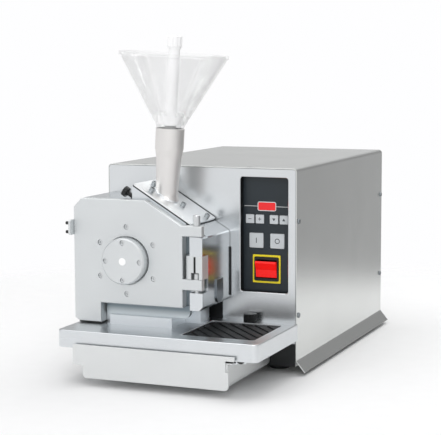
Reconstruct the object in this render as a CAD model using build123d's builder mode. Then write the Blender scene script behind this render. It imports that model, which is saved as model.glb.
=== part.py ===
from build123d import *
from math import cos, radians, sin, tan
import os

os.makedirs("parts", exist_ok=True)

# Bench-top cutting mill. Millimetres, +Z up, the front faces -Y, X = 0 is the middle of the cabinet.

# Clearances
run_fit = 0.05       # radial gap of a shaft or pin that turns
slide_gap = 0.3      # gap between pieces that move past each other
seat_gap = 0.2       # gap of a piece that is only put in place

# Cabinet
cab_w = 280.0
cab_d = 411.0
cab_h = 280.0
sheet = 1.5
drawer_reach = 158.0                     # drawer front in front of the cabinet face
inlet_rim = 2.0                          # inlet flange behind the rear panel
front_y = (drawer_reach - cab_d - inlet_rim) / 2     # keeps the machine centred front to back
rear_y = front_y + cab_d
foot_h = 12.0
fold_z = 20.0
skirt_z = 5.4
flare = 12.5
roof_r = 5.5
flange_depth = 14.0
panel_half = cab_w / 2 - sheet - seat_gap
panel_top = cab_h - sheet - seat_gap
panel_r = roof_r - sheet - seat_gap
pan_top = foot_h + sheet
side_screw_z = (81.8, cab_h - 71.0)
side_screw_inset = 7.6
roof_screw_x = (53.0 - cab_w / 2, cab_w / 2 - 70.0)
screw_m4 = 4.0
screw_head = 7.5
side_head_t = 1.8
head_taper = 18.0
roof_head_t = 1.2
sink_taper = 45.0
foot_x = cab_w / 2 - 40.0
foot_inset = 45.0
foot_r = 15.0
foot_chamfer = 2.0
foot_washer_t = 2.0
vent_pitch = 9.0
vent_w = 4.0
vent_l = 60.0
vent_back = 20.0

# Control recess
window_w = 68.5
window_h = 156.0
window_r = 3.5
window_x = cab_w / 2 - 46.75
window_top = cab_h - 13.0
window_z = window_top - window_h / 2
window_bottom = window_top - window_h
recess_depth = 11.5
tray_wall = 1.5
tray_floor = 3.0
tray_flange = 6.0
tray_flange_t = 1.5
foil_t = 0.5
display_z = window_bottom + 116.0
display_w = 24.4
display_h = 10.4
small_key = 12.0
small_key_z = window_bottom + 98.4
small_key_out = 24.4
small_key_in = 10.2
small_key_dx = (-small_key_out, -small_key_in, small_key_in, small_key_out)
big_key = 20.2
big_key_z = window_bottom + 69.2
big_key_dx = 15.1
key_proud = 0.5
key_lip = 1.0
key_lip_t = 1.2
switch_z = window_bottom + 30.7
frame_w = 39.8
frame_h = 38.4
collar_w = 35.2
collar_h = 32.8
collar_proud = 2.0
shell_w = collar_w - 2.0
shell_h = collar_h - 4.0
rocker_w = 29.6
rocker_cavity_h = 25.6
rocker_pivot_depth = 14.0

# Cutting chamber
bore_x = -65.5
bore_z = 159.5
bore_r = 42.0
body_left = -134.0
body_right = 44.0
body_bottom = 98.0
body_top = 240.4
body_front = -83.0
seal_t = 1.0
body_back = -seal_t
ring_t = 6.7
bore_back = -15.0
post_front = -96.0
post_left = 26.0
slope_deg = 31.2
slope_x = 22.0
slope_z = 206.8
slope_end_x = 42.7
wedge_left = -64.0
wedge_front = -80.0
wedge_back = -3.0
ring_left = -128.0
ring_top = 196.0
throat_left = -95.0
throat_right = -36.0
throat_front = -76.0
throat_back = -20.0
chute_top = body_bottom
chute_left = -104.0

# Drive
shaft_r = 8.0
rotor_r = 35.0
rotor_len = 60.0
rotor_front = -78.0
knife_tip_r = 38.5
knife_gap = 0.5
bearing_r = 20.0
bearing_w = 12.0
nose_r = 29.0
motor_r = cab_w / 2 + bore_x - 14.5
motor_start = 100.0
fin_h = 4.0
fin_t = 2.5
fin_root = fin_h + 1.1
cowl_t = 2.0
motor_len = 160.0

# Door
door_t = 13.0
door_front = post_front
door_back = door_front + door_t
door_left = -144.0
door_bottom = 100.4
leg_bottom = 74.0
leg_right = -104.7
hinge_x = 33.5
hinge_y = -89.5
ear_right = 43.0
ear1_z = 195.3
ear1_top = 209.2
ear2_z = 124.5
ear2_top = 138.8
notch_x = 15.5
pin_r = 3.0
pin_depth = 15.0
pin_head_r = 4.8
pin_head_h = 14.2
boss_r = 31.0
boss_t = 13.0
door_screw_pcd = 90.0
boss_screw_pcd = 50.0

# Feed
tube_lean = 3.7
tube_x = -22.9
tube_ref_z = 335.0
feed_y = -46.0
feed_r = 13.0
gasket_t = 1.8
flange_t = 2.4
flange_len = 98.0
collar_r = 19.25
collar_top = 333.5
neck_z = 338.0
pusher_r = 7.65
crown_r = 17.0
funnel_lip_r = 73.5
funnel_r = 69.0
funnel_top = 95.0                        # along the axis above the neck

# Deck and drawer
deck_z = 71.4
deck_half = cab_w / 2 + 1.5
deck_front = -151.7
deck_t = 2.0
lip_bottom = 48.5
deck_corner_r = 8.0
recess_left = 27.5
recess_right = deck_half - 14.5
recess_front = -125.0
recess_back = -22.0
recess_drop = 4.0
arm_x = deck_half - 25.5
arm_mid_x = 2.0
arm_s = 12.0
arm_z = 51.0
drawer_inset = 13.0
drawer_left = arm_mid_x - arm_x + drawer_inset
drawer_right = arm_mid_x + arm_x - drawer_inset
drawer_bottom = 11.0
drawer_top = 54.8
drawer_plate_t = 3.0
tray_top = 46.0
tray_t = 1.5
rail_t = 1.2


def facing(depth):
    """Plane parallel to the front, at a depth behind the cabinet face, looking at the viewer."""
    return Plane.XZ.offset(-(front_y + depth))


def level(height):
    """Horizontal plane at a height, with its origin on the cabinet face."""
    return Plane((0, front_y, height))


# Cabinet: pan, feet, hood and panels
with BuildPart() as base_plate:
    with BuildSketch(level(foot_h)):
        with Locations((0, cab_d / 2)):
            Rectangle(2 * panel_half, cab_d)
    extrude(amount=sheet)
    with BuildSketch(level(pan_top)):
        with Locations((0, cab_d / 2)):
            Rectangle(2 * panel_half, cab_d - 2 * flange_depth - 2 * seat_gap)
            Rectangle(
                2 * panel_half - 2 * sheet, cab_d - 2 * flange_depth - 2 * seat_gap, mode=Mode.SUBTRACT
            )
    extrude(amount=flange_depth)
    with BuildSketch(level(foot_h)):
        with Locations((0, cab_d / 2)):
            with GridLocations(2 * foot_x, cab_d - 2 * foot_inset, 2, 2):
                Circle(screw_m4)
    extrude(amount=sheet, mode=Mode.SUBTRACT)
    with BuildSketch(level(foot_h)):
        with Locations((0, cab_d / 2 - vent_back)):
            with GridLocations(vent_pitch, 0, 14, 1):
                SlotOverall(vent_l, vent_w, rotation=90)
    extrude(amount=sheet, mode=Mode.SUBTRACT)
base_plate.part.label = "base_plate"
export_step(base_plate.part, "parts/base_plate.step")

with BuildPart() as rubber_feet:
    with BuildSketch(level(0)):
        with Locations((0, cab_d / 2)):
            with GridLocations(2 * foot_x, cab_d - 2 * foot_inset, 2, 2):
                Circle(foot_r)
    extrude(amount=foot_h)
    chamfer(rubber_feet.edges().group_by(Axis.Z)[0], length=foot_chamfer)
    with BuildSketch(level(foot_h)):
        with Locations((0, cab_d / 2)):
            with GridLocations(2 * foot_x, cab_d - 2 * foot_inset, 2, 2):
                Circle(screw_m4 - seat_gap)
    extrude(amount=sheet)
    with BuildSketch(level(pan_top)):
        with Locations((0, cab_d / 2)):
            with GridLocations(2 * foot_x, cab_d - 2 * foot_inset, 2, 2):
                Circle(screw_m4 + foot_washer_t)
    extrude(amount=foot_washer_t)
rubber_feet.part.label = "rubber_feet"
export_step(rubber_feet.part, "parts/rubber_feet.step")

with BuildPart() as hood:
    with BuildSketch(facing(cab_d)):
        with BuildLine():
            FilletPolyline(
                (-cab_w / 2 - flare, skirt_z),
                (-cab_w / 2, fold_z),
                (-cab_w / 2, cab_h),
                (cab_w / 2, cab_h),
                (cab_w / 2, fold_z),
                (cab_w / 2 + flare, skirt_z),
                radius=roof_r,
            )
            offset(amount=sheet, side=Side.RIGHT)
        make_face()
    extrude(amount=cab_d)
    fillet(hood.faces().sort_by(Axis.Y)[0].outer_wire().edges().filter_by(Axis.Z), radius=0.6)
    for height in side_screw_z:
        with BuildSketch(Plane.YZ.offset(-cab_w / 2)):
            with Locations((front_y + side_screw_inset, height), (rear_y - side_screw_inset, height)):
                Circle(screw_m4 / 2 + seat_gap)
        extrude(amount=cab_w, mode=Mode.SUBTRACT)
    with BuildSketch(level(cab_h)):
        with Locations(*[(x, side_screw_inset) for x in roof_screw_x]):
            Circle(screw_m4 / 2 + seat_gap)
    extrude(amount=-2 * sheet, mode=Mode.SUBTRACT)
    with BuildSketch(level(cab_h)):
        with Locations(*[(x, side_screw_inset) for x in roof_screw_x]):
            Circle(screw_head / 2 + seat_gap)
    extrude(amount=-roof_head_t - seat_gap, taper=sink_taper, mode=Mode.SUBTRACT)
hood.part.label = "hood"
export_step(hood.part, "parts/hood.step")

with BuildPart() as front_panel:
    with BuildSketch(facing(flange_depth)) as front_outline:
        with Locations((0, (pan_top + panel_top) / 2)):
            Rectangle(2 * panel_half, panel_top - pan_top)
        fillet(vertices().group_by(Axis.Y)[-1], radius=panel_r)
    extrude(amount=flange_depth)
    with BuildSketch(facing(flange_depth)):
        with Locations((0, (pan_top + panel_top - sheet) / 2 - sheet)):
            Rectangle(2 * (panel_half - sheet), panel_top - pan_top + sheet)
        fillet(vertices().group_by(Axis.Y)[-1], radius=panel_r - sheet)
    extrude(amount=flange_depth - sheet, mode=Mode.SUBTRACT)
    with BuildSketch(facing(0)):
        with Locations((window_x, window_z)):
            RectangleRounded(window_w, window_h, window_r)
        with Locations((bore_x, bore_z)):
            Circle(nose_r + seat_gap)
        with Locations((arm_mid_x - arm_x, arm_z), (arm_mid_x + arm_x, arm_z)):
            Rectangle(arm_s + 2 * seat_gap, arm_s + 2 * seat_gap)
    extrude(amount=-sheet, mode=Mode.SUBTRACT)
    window_rim = front_panel.faces().sort_by(Axis.Y)[0].inner_wires().sort_by(SortBy.LENGTH)[-1]
    chamfer(window_rim.edges(), length=0.7)
    for height in side_screw_z:
        with BuildSketch(Plane.YZ.offset(-cab_w / 2)):
            with Locations((front_y + side_screw_inset, height)):
                Circle(screw_m4 / 2 + seat_gap)
        extrude(amount=cab_w, mode=Mode.SUBTRACT)
    with BuildSketch(level(cab_h)):
        with Locations(*[(x, side_screw_inset) for x in roof_screw_x]):
            Circle(screw_m4 / 2 + seat_gap)
    extrude(amount=-3 * sheet, mode=Mode.SUBTRACT)
front_panel.part.label = "front_panel"
export_step(front_panel.part, "parts/front_panel.step")

inlet_x = 50.0 - cab_w / 2
inlet_z = 60.0
inlet_w = 27.0
inlet_h = 20.0
inlet_flange = 4.0
inlet_len = 26.0
inlet_wall = 2.5
inlet_depth = 18.0
contact_w = 2.0
contact_h = 4.0
contact_l = 13.0
contact_dx = 6.0
contact_dz = 2.0
slot_pitch = 9.0
slot_l = 96.0
slot_w = 4.5
with BuildPart() as rear_panel:
    with BuildSketch(facing(cab_d)):
        with Locations((0, (pan_top + panel_top) / 2)):
            Rectangle(2 * panel_half, panel_top - pan_top)
        fillet(vertices().group_by(Axis.Y)[-1], radius=panel_r)
    extrude(amount=flange_depth)
    with BuildSketch(facing(cab_d - sheet)):
        with Locations((0, (pan_top + panel_top - sheet) / 2 - sheet)):
            Rectangle(2 * (panel_half - sheet), panel_top - pan_top + sheet)
        fillet(vertices().group_by(Axis.Y)[-1], radius=panel_r - sheet)
    extrude(amount=flange_depth - sheet, mode=Mode.SUBTRACT)
    with BuildSketch(facing(cab_d)):
        with Locations((bore_x, bore_z)):
            with GridLocations(0, slot_pitch, 1, 12):
                SlotOverall(slot_l, slot_w)
        with Locations((inlet_x, inlet_z)):
            Rectangle(inlet_w + 2 * seat_gap, inlet_h + 2 * seat_gap)
    extrude(amount=sheet, mode=Mode.SUBTRACT)
    for height in side_screw_z:
        with BuildSketch(Plane.YZ.offset(-cab_w / 2)):
            with Locations((rear_y - side_screw_inset, height)):
                Circle(screw_m4 / 2 + seat_gap)
        extrude(amount=cab_w, mode=Mode.SUBTRACT)
rear_panel.part.label = "rear_panel"
export_step(rear_panel.part, "parts/rear_panel.step")

plate_t = 1.2
plate_top = arm_z - arm_s / 2 - 2.0
with BuildPart() as lower_front_plate:
    with BuildSketch(facing(0)):
        with Locations((0, (foot_h + plate_top) / 2)):
            Rectangle(2 * panel_half, plate_top - foot_h)
    extrude(amount=plate_t)
lower_front_plate.part.label = "lower_front_plate"
export_step(lower_front_plate.part, "parts/lower_front_plate.step")

with BuildPart() as cover_screws:
    for side in (-1, 1):
        for height in side_screw_z:
            with BuildSketch(Plane.YZ.offset(side * (cab_w / 2 - flange_depth / 2))):
                with Locations((front_y + side_screw_inset, height), (rear_y - side_screw_inset, height)):
                    Circle(screw_m4 / 2)
            extrude(amount=side * flange_depth / 2)
            with BuildSketch(Plane.YZ.offset(side * cab_w / 2)):
                with Locations((front_y + side_screw_inset, height), (rear_y - side_screw_inset, height)):
                    Circle(screw_head / 2)
            extrude(amount=side * side_head_t, taper=head_taper)
    with BuildSketch(level(cab_h - flange_depth / 2)):
        with Locations(*[(x, side_screw_inset) for x in roof_screw_x]):
            Circle(screw_m4 / 2)
    extrude(amount=flange_depth / 2 - roof_head_t / 2)
    with BuildSketch(level(cab_h)):
        with Locations(*[(x, side_screw_inset) for x in roof_screw_x]):
            Circle(screw_head / 2)
    extrude(amount=-roof_head_t, taper=sink_taper)
cover_screws.part.label = "cover_screws"
export_step(cover_screws.part, "parts/cover_screws.step")

# Control recess
with BuildPart() as control_tray:
    with BuildSketch(facing(sheet)):
        with Locations((window_x, window_z)):
            RectangleRounded(window_w + 2 * tray_flange, window_h + 2 * tray_flange, window_r)
    extrude(amount=-tray_flange_t)
    with BuildSketch(facing(sheet)):
        with Locations((window_x, window_z)):
            RectangleRounded(window_w + 2 * tray_wall, window_h + 2 * tray_wall, window_r + tray_wall)
    extrude(amount=-(recess_depth + foil_t + tray_floor - sheet))
    with BuildSketch(facing(sheet)):
        with Locations((window_x, window_z)):
            RectangleRounded(window_w, window_h, window_r)
    extrude(amount=-(recess_depth + foil_t - sheet), mode=Mode.SUBTRACT)
    with BuildSketch(facing(recess_depth)):
        with Locations((window_x, display_z)):
            Rectangle(display_w + 2 * seat_gap, display_h + 2 * seat_gap)
        with Locations(*[(window_x + dx, small_key_z) for dx in small_key_dx]):
            Rectangle(small_key + 2 * slide_gap, small_key + 2 * slide_gap)
        with Locations((window_x - big_key_dx, big_key_z), (window_x + big_key_dx, big_key_z)):
            Rectangle(big_key + 2 * slide_gap, big_key + 2 * slide_gap)
        with Locations((window_x, switch_z)):
            Rectangle(shell_w + 2 * seat_gap, shell_h + 2 * seat_gap)
    extrude(amount=-(foil_t + tray_floor), mode=Mode.SUBTRACT)
control_tray.part.label = "control_tray"
export_step(control_tray.part, "parts/control_tray.step")

with BuildPart() as control_foil:
    with BuildSketch(facing(recess_depth)):
        with Locations((window_x, window_z)):
            RectangleRounded(window_w - 2 * seat_gap, window_h - 2 * seat_gap, window_r)
        with Locations((window_x, display_z)):
            Rectangle(display_w + 2 * seat_gap, display_h + 2 * seat_gap, mode=Mode.SUBTRACT)
        with Locations(*[(window_x + dx, small_key_z) for dx in small_key_dx]):
            Rectangle(small_key + 2 * slide_gap, small_key + 2 * slide_gap, mode=Mode.SUBTRACT)
        with Locations((window_x - big_key_dx, big_key_z), (window_x + big_key_dx, big_key_z)):
            Rectangle(big_key + 2 * slide_gap, big_key + 2 * slide_gap, mode=Mode.SUBTRACT)
        with Locations((window_x, switch_z)):
            Rectangle(shell_w + 2 * seat_gap, shell_h + 2 * seat_gap, mode=Mode.SUBTRACT)
    extrude(amount=-foil_t)
control_foil.part.label = "control_foil"
export_step(control_foil.part, "parts/control_foil.step")

tray_back = recess_depth + foil_t + tray_floor
board_y = tray_back + 5.0
with BuildPart() as display_window:
    with BuildSketch(facing(recess_depth - 0.3)):
        with Locations((window_x, display_z)):
            RectangleRounded(display_w, display_h, 1.5)
    extrude(amount=-(board_y - recess_depth + 0.3))
display_window.part.label = "display_window"
export_step(display_window.part, "parts/display_window.step")

key_travel = 0.5
key_back = tray_back + key_lip_t
with BuildPart() as key_start:
    with BuildSketch(facing(recess_depth - key_proud)):
        with Locations((window_x - big_key_dx, big_key_z)):
            RectangleRounded(big_key, big_key, 1.2)
    extrude(amount=-(tray_back - recess_depth + key_proud))
    chamfer(key_start.faces().sort_by(Axis.Y)[0].edges(), length=0.3)
    with BuildSketch(facing(tray_back)):
        with Locations((window_x - big_key_dx, big_key_z)):
            Rectangle(big_key, big_key + 2 * key_lip)
    extrude(amount=-key_lip_t)
    with BuildSketch(facing(key_back)):
        with Locations((window_x - big_key_dx, big_key_z)):
            Circle(2)
    extrude(amount=-(board_y - key_back - 2 * key_travel))
key_start.part.label = "key_start"
export_step(key_start.part, "parts/key_start.step")

with BuildPart() as key_stop:
    with BuildSketch(facing(recess_depth - key_proud)):
        with Locations((window_x + big_key_dx, big_key_z)):
            RectangleRounded(big_key, big_key, 1.2)
    extrude(amount=-(tray_back - recess_depth + key_proud))
    chamfer(key_stop.faces().sort_by(Axis.Y)[0].edges(), length=0.3)
    with BuildSketch(facing(tray_back)):
        with Locations((window_x + big_key_dx, big_key_z)):
            Rectangle(big_key, big_key + 2 * key_lip)
    extrude(amount=-key_lip_t)
    with BuildSketch(facing(key_back)):
        with Locations((window_x + big_key_dx, big_key_z)):
            Circle(2)
    extrude(amount=-(board_y - key_back - 2 * key_travel))
key_stop.part.label = "key_stop"
export_step(key_stop.part, "parts/key_stop.step")

for number, dx in enumerate(small_key_dx, start=1):
    with BuildPart() as small_key_part:
        with BuildSketch(facing(recess_depth - key_proud)):
            with Locations((window_x + dx, small_key_z)):
                RectangleRounded(small_key, small_key, 0.9)
        extrude(amount=-(tray_back - recess_depth + key_proud))
        chamfer(small_key_part.faces().sort_by(Axis.Y)[0].edges(), length=0.3)
        with BuildSketch(facing(tray_back)):
            with Locations((window_x + dx, small_key_z)):
                Rectangle(small_key, small_key + 2 * key_lip)
        extrude(amount=-key_lip_t)
        with BuildSketch(facing(key_back)):
            with Locations((window_x + dx, small_key_z)):
                Circle(2)
        extrude(amount=-(board_y - key_back - 2 * key_travel))
    small_key_part.part.label = f"key_small_{number}"
    export_step(small_key_part.part, f"parts/key_small_{number}.step")

with BuildPart() as switch_frame:
    with BuildSketch(facing(recess_depth)):
        with Locations((window_x, switch_z)):
            RectangleRounded(frame_w, frame_h, 1.0)
            RectangleRounded(collar_w + 2 * seat_gap, collar_h + 2 * seat_gap, 2.2, mode=Mode.SUBTRACT)
    extrude(amount=1.0)
switch_frame.part.label = "switch_frame"
export_step(switch_frame.part, "parts/switch_frame.step")

trunnion_r = 1.5
trunnion_len = 1.1
switch_depth = 24.0
with BuildPart() as switch_housing:
    with BuildSketch(facing(recess_depth)):
        with Locations((window_x, switch_z)):
            RectangleRounded(collar_w, collar_h, 2.0)
    extrude(amount=collar_proud)
    with BuildSketch(facing(recess_depth)):
        with Locations((window_x, switch_z)):
            Rectangle(shell_w, shell_h)
    extrude(amount=-switch_depth)
    with BuildSketch(facing(recess_depth - collar_proud)):
        with Locations((window_x, switch_z)):
            Rectangle(rocker_w + 2 * slide_gap, rocker_cavity_h)
    extrude(amount=-(switch_depth - 4), mode=Mode.SUBTRACT)
    with BuildSketch(Plane.YZ.offset(window_x - collar_w / 2)):
        with Locations((front_y + rocker_pivot_depth, switch_z)):
            Circle(trunnion_r + run_fit)
    extrude(amount=collar_w, mode=Mode.SUBTRACT)
switch_housing.part.label = "switch_housing"
export_step(switch_housing.part, "parts/switch_housing.step")

with BuildPart() as switch_rocker:
    with BuildSketch(Plane((window_x - rocker_w / 2, front_y, switch_z), x_dir=(0, 1, 0), z_dir=(1, 0, 0))):
        with BuildLine():
            Polyline(
                (9.5, -11.4), (8.0, -1.0), (4.3, 8.2), (5.5, 10.8), (18.0, 9.0), (18.0, -9.0), close=True
            )
        make_face()
    extrude(amount=rocker_w)
    with BuildSketch(Plane.YZ.offset(window_x - rocker_w / 2 - trunnion_len)):
        with Locations((front_y + rocker_pivot_depth, switch_z)):
            Circle(trunnion_r)
    extrude(amount=rocker_w + 2 * trunnion_len)
switch_rocker.part.label = "switch_rocker"
export_step(switch_rocker.part, "parts/switch_rocker.step")

board_h = 82.0
board_t = 1.6
board_z = (display_z + big_key_z) / 2 - 1.6
board_inset = 8.0
board_post_r = 2.5
relay_w = 40.0
relay_h = 22.0
relay_t = 12.0
with BuildPart() as control_board:
    with BuildSketch(facing(board_y)):
        with Locations((window_x, board_z)):
            Rectangle(window_w, board_h)
    extrude(amount=-board_t)
    with BuildSketch(facing(board_y + board_t)):
        with Locations((window_x, big_key_z)):
            Rectangle(relay_w, relay_h)
        with Locations((window_x - display_w / 2, display_z)):
            Rectangle(relay_h, relay_h / 2)
    extrude(amount=-relay_t)
    with BuildSketch(facing(tray_back)):
        with Locations((window_x, board_z)):
            with GridLocations(window_w - board_inset, board_h - board_inset, 2, 2):
                Circle(board_post_r)
    extrude(amount=-(board_y - tray_back))
control_board.part.label = "control_board"
export_step(control_board.part, "parts/control_board.step")

with BuildPart() as mains_inlet:
    with BuildSketch(facing(cab_d + inlet_rim)):
        with Locations((inlet_x, inlet_z)):
            RectangleRounded(inlet_w + 2 * inlet_flange, inlet_h + 2 * inlet_flange, 3)
    extrude(amount=inlet_rim)
    with BuildSketch(facing(cab_d)):
        with Locations((inlet_x, inlet_z)):
            Rectangle(inlet_w, inlet_h)
    extrude(amount=inlet_len)
    with BuildSketch(facing(cab_d + inlet_rim)):
        with Locations((inlet_x, inlet_z)):
            RectangleRounded(inlet_w - 2 * inlet_wall, inlet_h - 2 * inlet_wall, 3)
    extrude(amount=inlet_depth, mode=Mode.SUBTRACT)
    with BuildSketch(facing(cab_d + inlet_rim - inlet_depth)):
        with Locations(
            (inlet_x - contact_dx, inlet_z - contact_dz),
            (inlet_x, inlet_z + contact_dz),
            (inlet_x + contact_dx, inlet_z - contact_dz),
        ):
            Rectangle(contact_w, contact_h)
    extrude(amount=-contact_l)
mains_inlet.part.label = "mains_inlet"
export_step(mains_inlet.part, "parts/mains_inlet.step")

# Deck, drawer and their supports
arm_left = arm_mid_x - arm_x
arm_right = arm_mid_x + arm_x
arm_top = arm_z + arm_s / 2
cap_front = deck_front + deck_t + slide_gap
cap_t = 3.0
arm_back = 60.0
saddle_l = 12.0
saddle_back = -11.0
saddle_front = deck_front + 14.7
rail_top = tray_top - rail_t
rail_reach = 8.0
with BuildPart() as deck_arms:
    with BuildSketch(facing(cap_front + cap_t)):
        with Locations((arm_left, arm_z), (arm_right, arm_z)):
            Rectangle(arm_s, arm_s)
    extrude(amount=-(arm_back - cap_front - cap_t))
    with BuildSketch(level(pan_top)):
        with Locations((arm_left, arm_back - arm_s / 2), (arm_right, arm_back - arm_s / 2)):
            Rectangle(arm_s, arm_s)
    extrude(amount=arm_z - pan_top)
    with BuildSketch(level(arm_z)):
        with Locations(
            (arm_left, saddle_back),
            (arm_right, saddle_back),
            (arm_left, saddle_front),
            (arm_right, saddle_front),
        ):
            Rectangle(arm_s, saddle_l)
    extrude(amount=deck_z - deck_t - arm_z)
    with BuildSketch(level(rail_top - rail_t)):
        with Locations((arm_left + arm_s / 2 + rail_reach / 2, (cap_front + cap_t - 2) / 2)):
            Rectangle(rail_reach, -cap_front - cap_t - 2)
        with Locations((arm_right - arm_s / 2 - rail_reach / 2, (cap_front + cap_t - 2) / 2)):
            Rectangle(rail_reach, -cap_front - cap_t - 2)
    extrude(amount=rail_t)
    with BuildSketch(level(rail_top - rail_t)):
        with Locations((arm_left + arm_s / 2 + rail_t / 2, (cap_front + cap_t - 2) / 2)):
            Rectangle(rail_t, -cap_front - cap_t - 2)
        with Locations((arm_right - arm_s / 2 - rail_t / 2, (cap_front + cap_t - 2) / 2)):
            Rectangle(rail_t, -cap_front - cap_t - 2)
    extrude(amount=arm_top - rail_top + rail_t)
deck_arms.part.label = "deck_arms"
export_step(deck_arms.part, "parts/deck_arms.step")

with BuildPart() as arm_caps:
    with BuildSketch(facing(cap_front + cap_t)):
        with Locations((arm_left, arm_z), (arm_right, arm_z)):
            Circle(arm_s / 2)
    extrude(amount=cap_t)
    fillet(arm_caps.faces().sort_by(Axis.Y)[0:2].edges(), radius=1.0)
arm_caps.part.label = "arm_caps"
export_step(arm_caps.part, "parts/arm_caps.step")

knob_x = recess_right - 49.5
knob_y = recess_back + 11.5
stud_r = 2.5
stud_l = 12.0
knob_r = 9.2
knob_h = 11.5
knob_nut_r = 4.5
knob_nut_t = 4.0
flute_r = 1.3
with BuildPart() as deck:
    with BuildSketch(level(lip_bottom)):
        with Locations((0, deck_front / 2)):
            Rectangle(2 * deck_half, -deck_front)
        fillet(vertices().group_by(Axis.Y)[0], radius=deck_corner_r)
    extrude(amount=deck_z - lip_bottom)
    deck_rim = deck.faces().sort_by(Axis.Z)[-1].edges().sort_by(Axis.Y)[0:-1]
    fillet(deck_rim, radius=1.8)
    with BuildSketch(level(lip_bottom)):
        with Locations((0, (deck_front + deck_t) / 2)):
            Rectangle(2 * (deck_half - deck_t), -deck_front - deck_t)
        fillet(vertices().group_by(Axis.Y)[0], radius=deck_corner_r - deck_t)
    extrude(amount=deck_z - deck_t - lip_bottom, mode=Mode.SUBTRACT)
    with BuildSketch(level(deck_z - recess_drop - deck_t)):
        with Locations(((recess_left + recess_right) / 2, (recess_front + recess_back) / 2)):
            Rectangle(recess_right - recess_left + 2 * deck_t, recess_back - recess_front + 2 * deck_t)
    extrude(amount=recess_drop + deck_t / 2)
    with BuildSketch(level(deck_z - recess_drop)):
        with Locations(((recess_left + recess_right) / 2, (recess_front + recess_back) / 2)):
            RectangleRounded(recess_right - recess_left, recess_back - recess_front, 3)
    extrude(amount=recess_drop, mode=Mode.SUBTRACT)
    with BuildSketch(level(deck_z)):
        with Locations(((throat_left + throat_right) / 2, (throat_front + throat_back) / 2)):
            Rectangle(throat_right - throat_left, throat_back - throat_front)
        with Locations((knob_x, knob_y)):
            Circle(stud_r + run_fit)
    extrude(amount=-2 * deck_t, mode=Mode.SUBTRACT)
deck.part.label = "deck"
export_step(deck.part, "parts/deck.step")

rib_pitch = 18.0
rib_w = 9.6
rib_lean = 42.0
rib_edge = 2.0
mat_t = 1.6
rib_h = 1.6
with BuildPart() as deck_mat:
    with BuildSketch(level(deck_z - recess_drop)):
        with Locations(((recess_left + recess_right) / 2, (recess_front + recess_back) / 2)):
            RectangleRounded(
                recess_right - recess_left - 2 * seat_gap, recess_back - recess_front - 2 * seat_gap, 3
            )
    extrude(amount=mat_t)
    with BuildSketch(level(deck_z - recess_drop + mat_t)):
        with Locations(((recess_left + recess_right) / 2, (recess_front + recess_back) / 2)):
            with GridLocations(rib_pitch, 0, 12, 1):
                Rectangle(rib_w, 2 * (recess_back - recess_front), rotation=rib_lean)
            RectangleRounded(
                recess_right - recess_left - 2 * rib_edge,
                recess_back - recess_front - 2 * rib_edge,
                rib_edge,
                mode=Mode.INTERSECT,
            )
    extrude(amount=rib_h)
deck_mat.part.label = "deck_mat"
export_step(deck_mat.part, "parts/deck_mat.step")

with BuildPart() as deck_knob:
    with BuildSketch(level(deck_z + slide_gap)):
        with Locations((knob_x, knob_y)):
            Circle(knob_r)
            with PolarLocations(knob_r + flute_r / 2, 14):
                Circle(flute_r, mode=Mode.SUBTRACT)
    extrude(amount=knob_h)
    with BuildSketch(level(deck_z - stud_l)):
        with Locations((knob_x, knob_y)):
            Circle(stud_r)
    extrude(amount=stud_l + slide_gap)
    with BuildSketch(level(deck_z - deck_t - slide_gap)):
        with Locations((knob_x, knob_y)):
            Circle(knob_nut_r)
    extrude(amount=-knob_nut_t)
deck_knob.part.label = "deck_knob"
export_step(deck_knob.part, "parts/deck_knob.step")

tray_left = drawer_left + 2.0
tray_right = drawer_right - 2.0
tray_front = drawer_plate_t - drawer_reach
tray_back_y = -3.0
tray_rim = 6.5
tray_bottom = drawer_bottom + 1.0
notch_low = 34.6
notch_high = 49.0
notch_in = 4.0
lip_right = 8.0
lip_left = 14.0
lip_low = 28.0
drawer_corner_r = 6.0
tray_corner_r = 8.0
with BuildPart() as drawer:
    with BuildSketch(facing(-drawer_reach)):
        with BuildLine():
            Polyline(
                (drawer_left, drawer_bottom),
                (drawer_right, drawer_bottom),
                (drawer_right, notch_low),
                (drawer_right - notch_in, notch_low),
                (drawer_right - notch_in, notch_high),
                (drawer_right + lip_right, notch_high),
                (drawer_right + lip_right, drawer_top),
                (drawer_left - lip_left, drawer_top),
                (drawer_left - lip_left, lip_low),
                (drawer_left, lip_low),
                close=True,
            )
        make_face()
        fillet(vertices().group_by(Axis.Y)[0], radius=drawer_corner_r)
    extrude(amount=-drawer_plate_t)
    fillet(drawer.faces().sort_by(Axis.Y)[0].edges(), radius=0.5)
    with BuildSketch(facing(tray_front)):
        with Locations(((tray_left + tray_right) / 2, (tray_bottom + tray_top) / 2)):
            Rectangle(tray_right - tray_left, tray_top - tray_bottom)
        fillet(vertices().group_by(Axis.Y)[0], radius=tray_corner_r)
    extrude(amount=-(tray_back_y - tray_front))
    with BuildSketch(facing(tray_front)):
        with Locations((tray_left - tray_rim / 2, tray_top - rail_t / 2)):
            Rectangle(tray_rim, rail_t)
        with Locations((tray_right + tray_rim / 2, tray_top - rail_t / 2)):
            Rectangle(tray_rim, rail_t)
    extrude(amount=-(tray_back_y - tray_front))
    with BuildSketch(facing(tray_front + tray_t)):
        with Locations(((tray_left + tray_right) / 2, (tray_bottom + tray_top) / 2 + tray_t)):
            Rectangle(tray_right - tray_left - 2 * tray_t, tray_top - tray_bottom)
        fillet(vertices().group_by(Axis.Y)[0], radius=tray_corner_r - tray_t)
    extrude(amount=-(tray_back_y - tray_front - 2 * tray_t), mode=Mode.SUBTRACT)
drawer.part.label = "drawer"
export_step(drawer.part, "parts/drawer.step")

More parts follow.
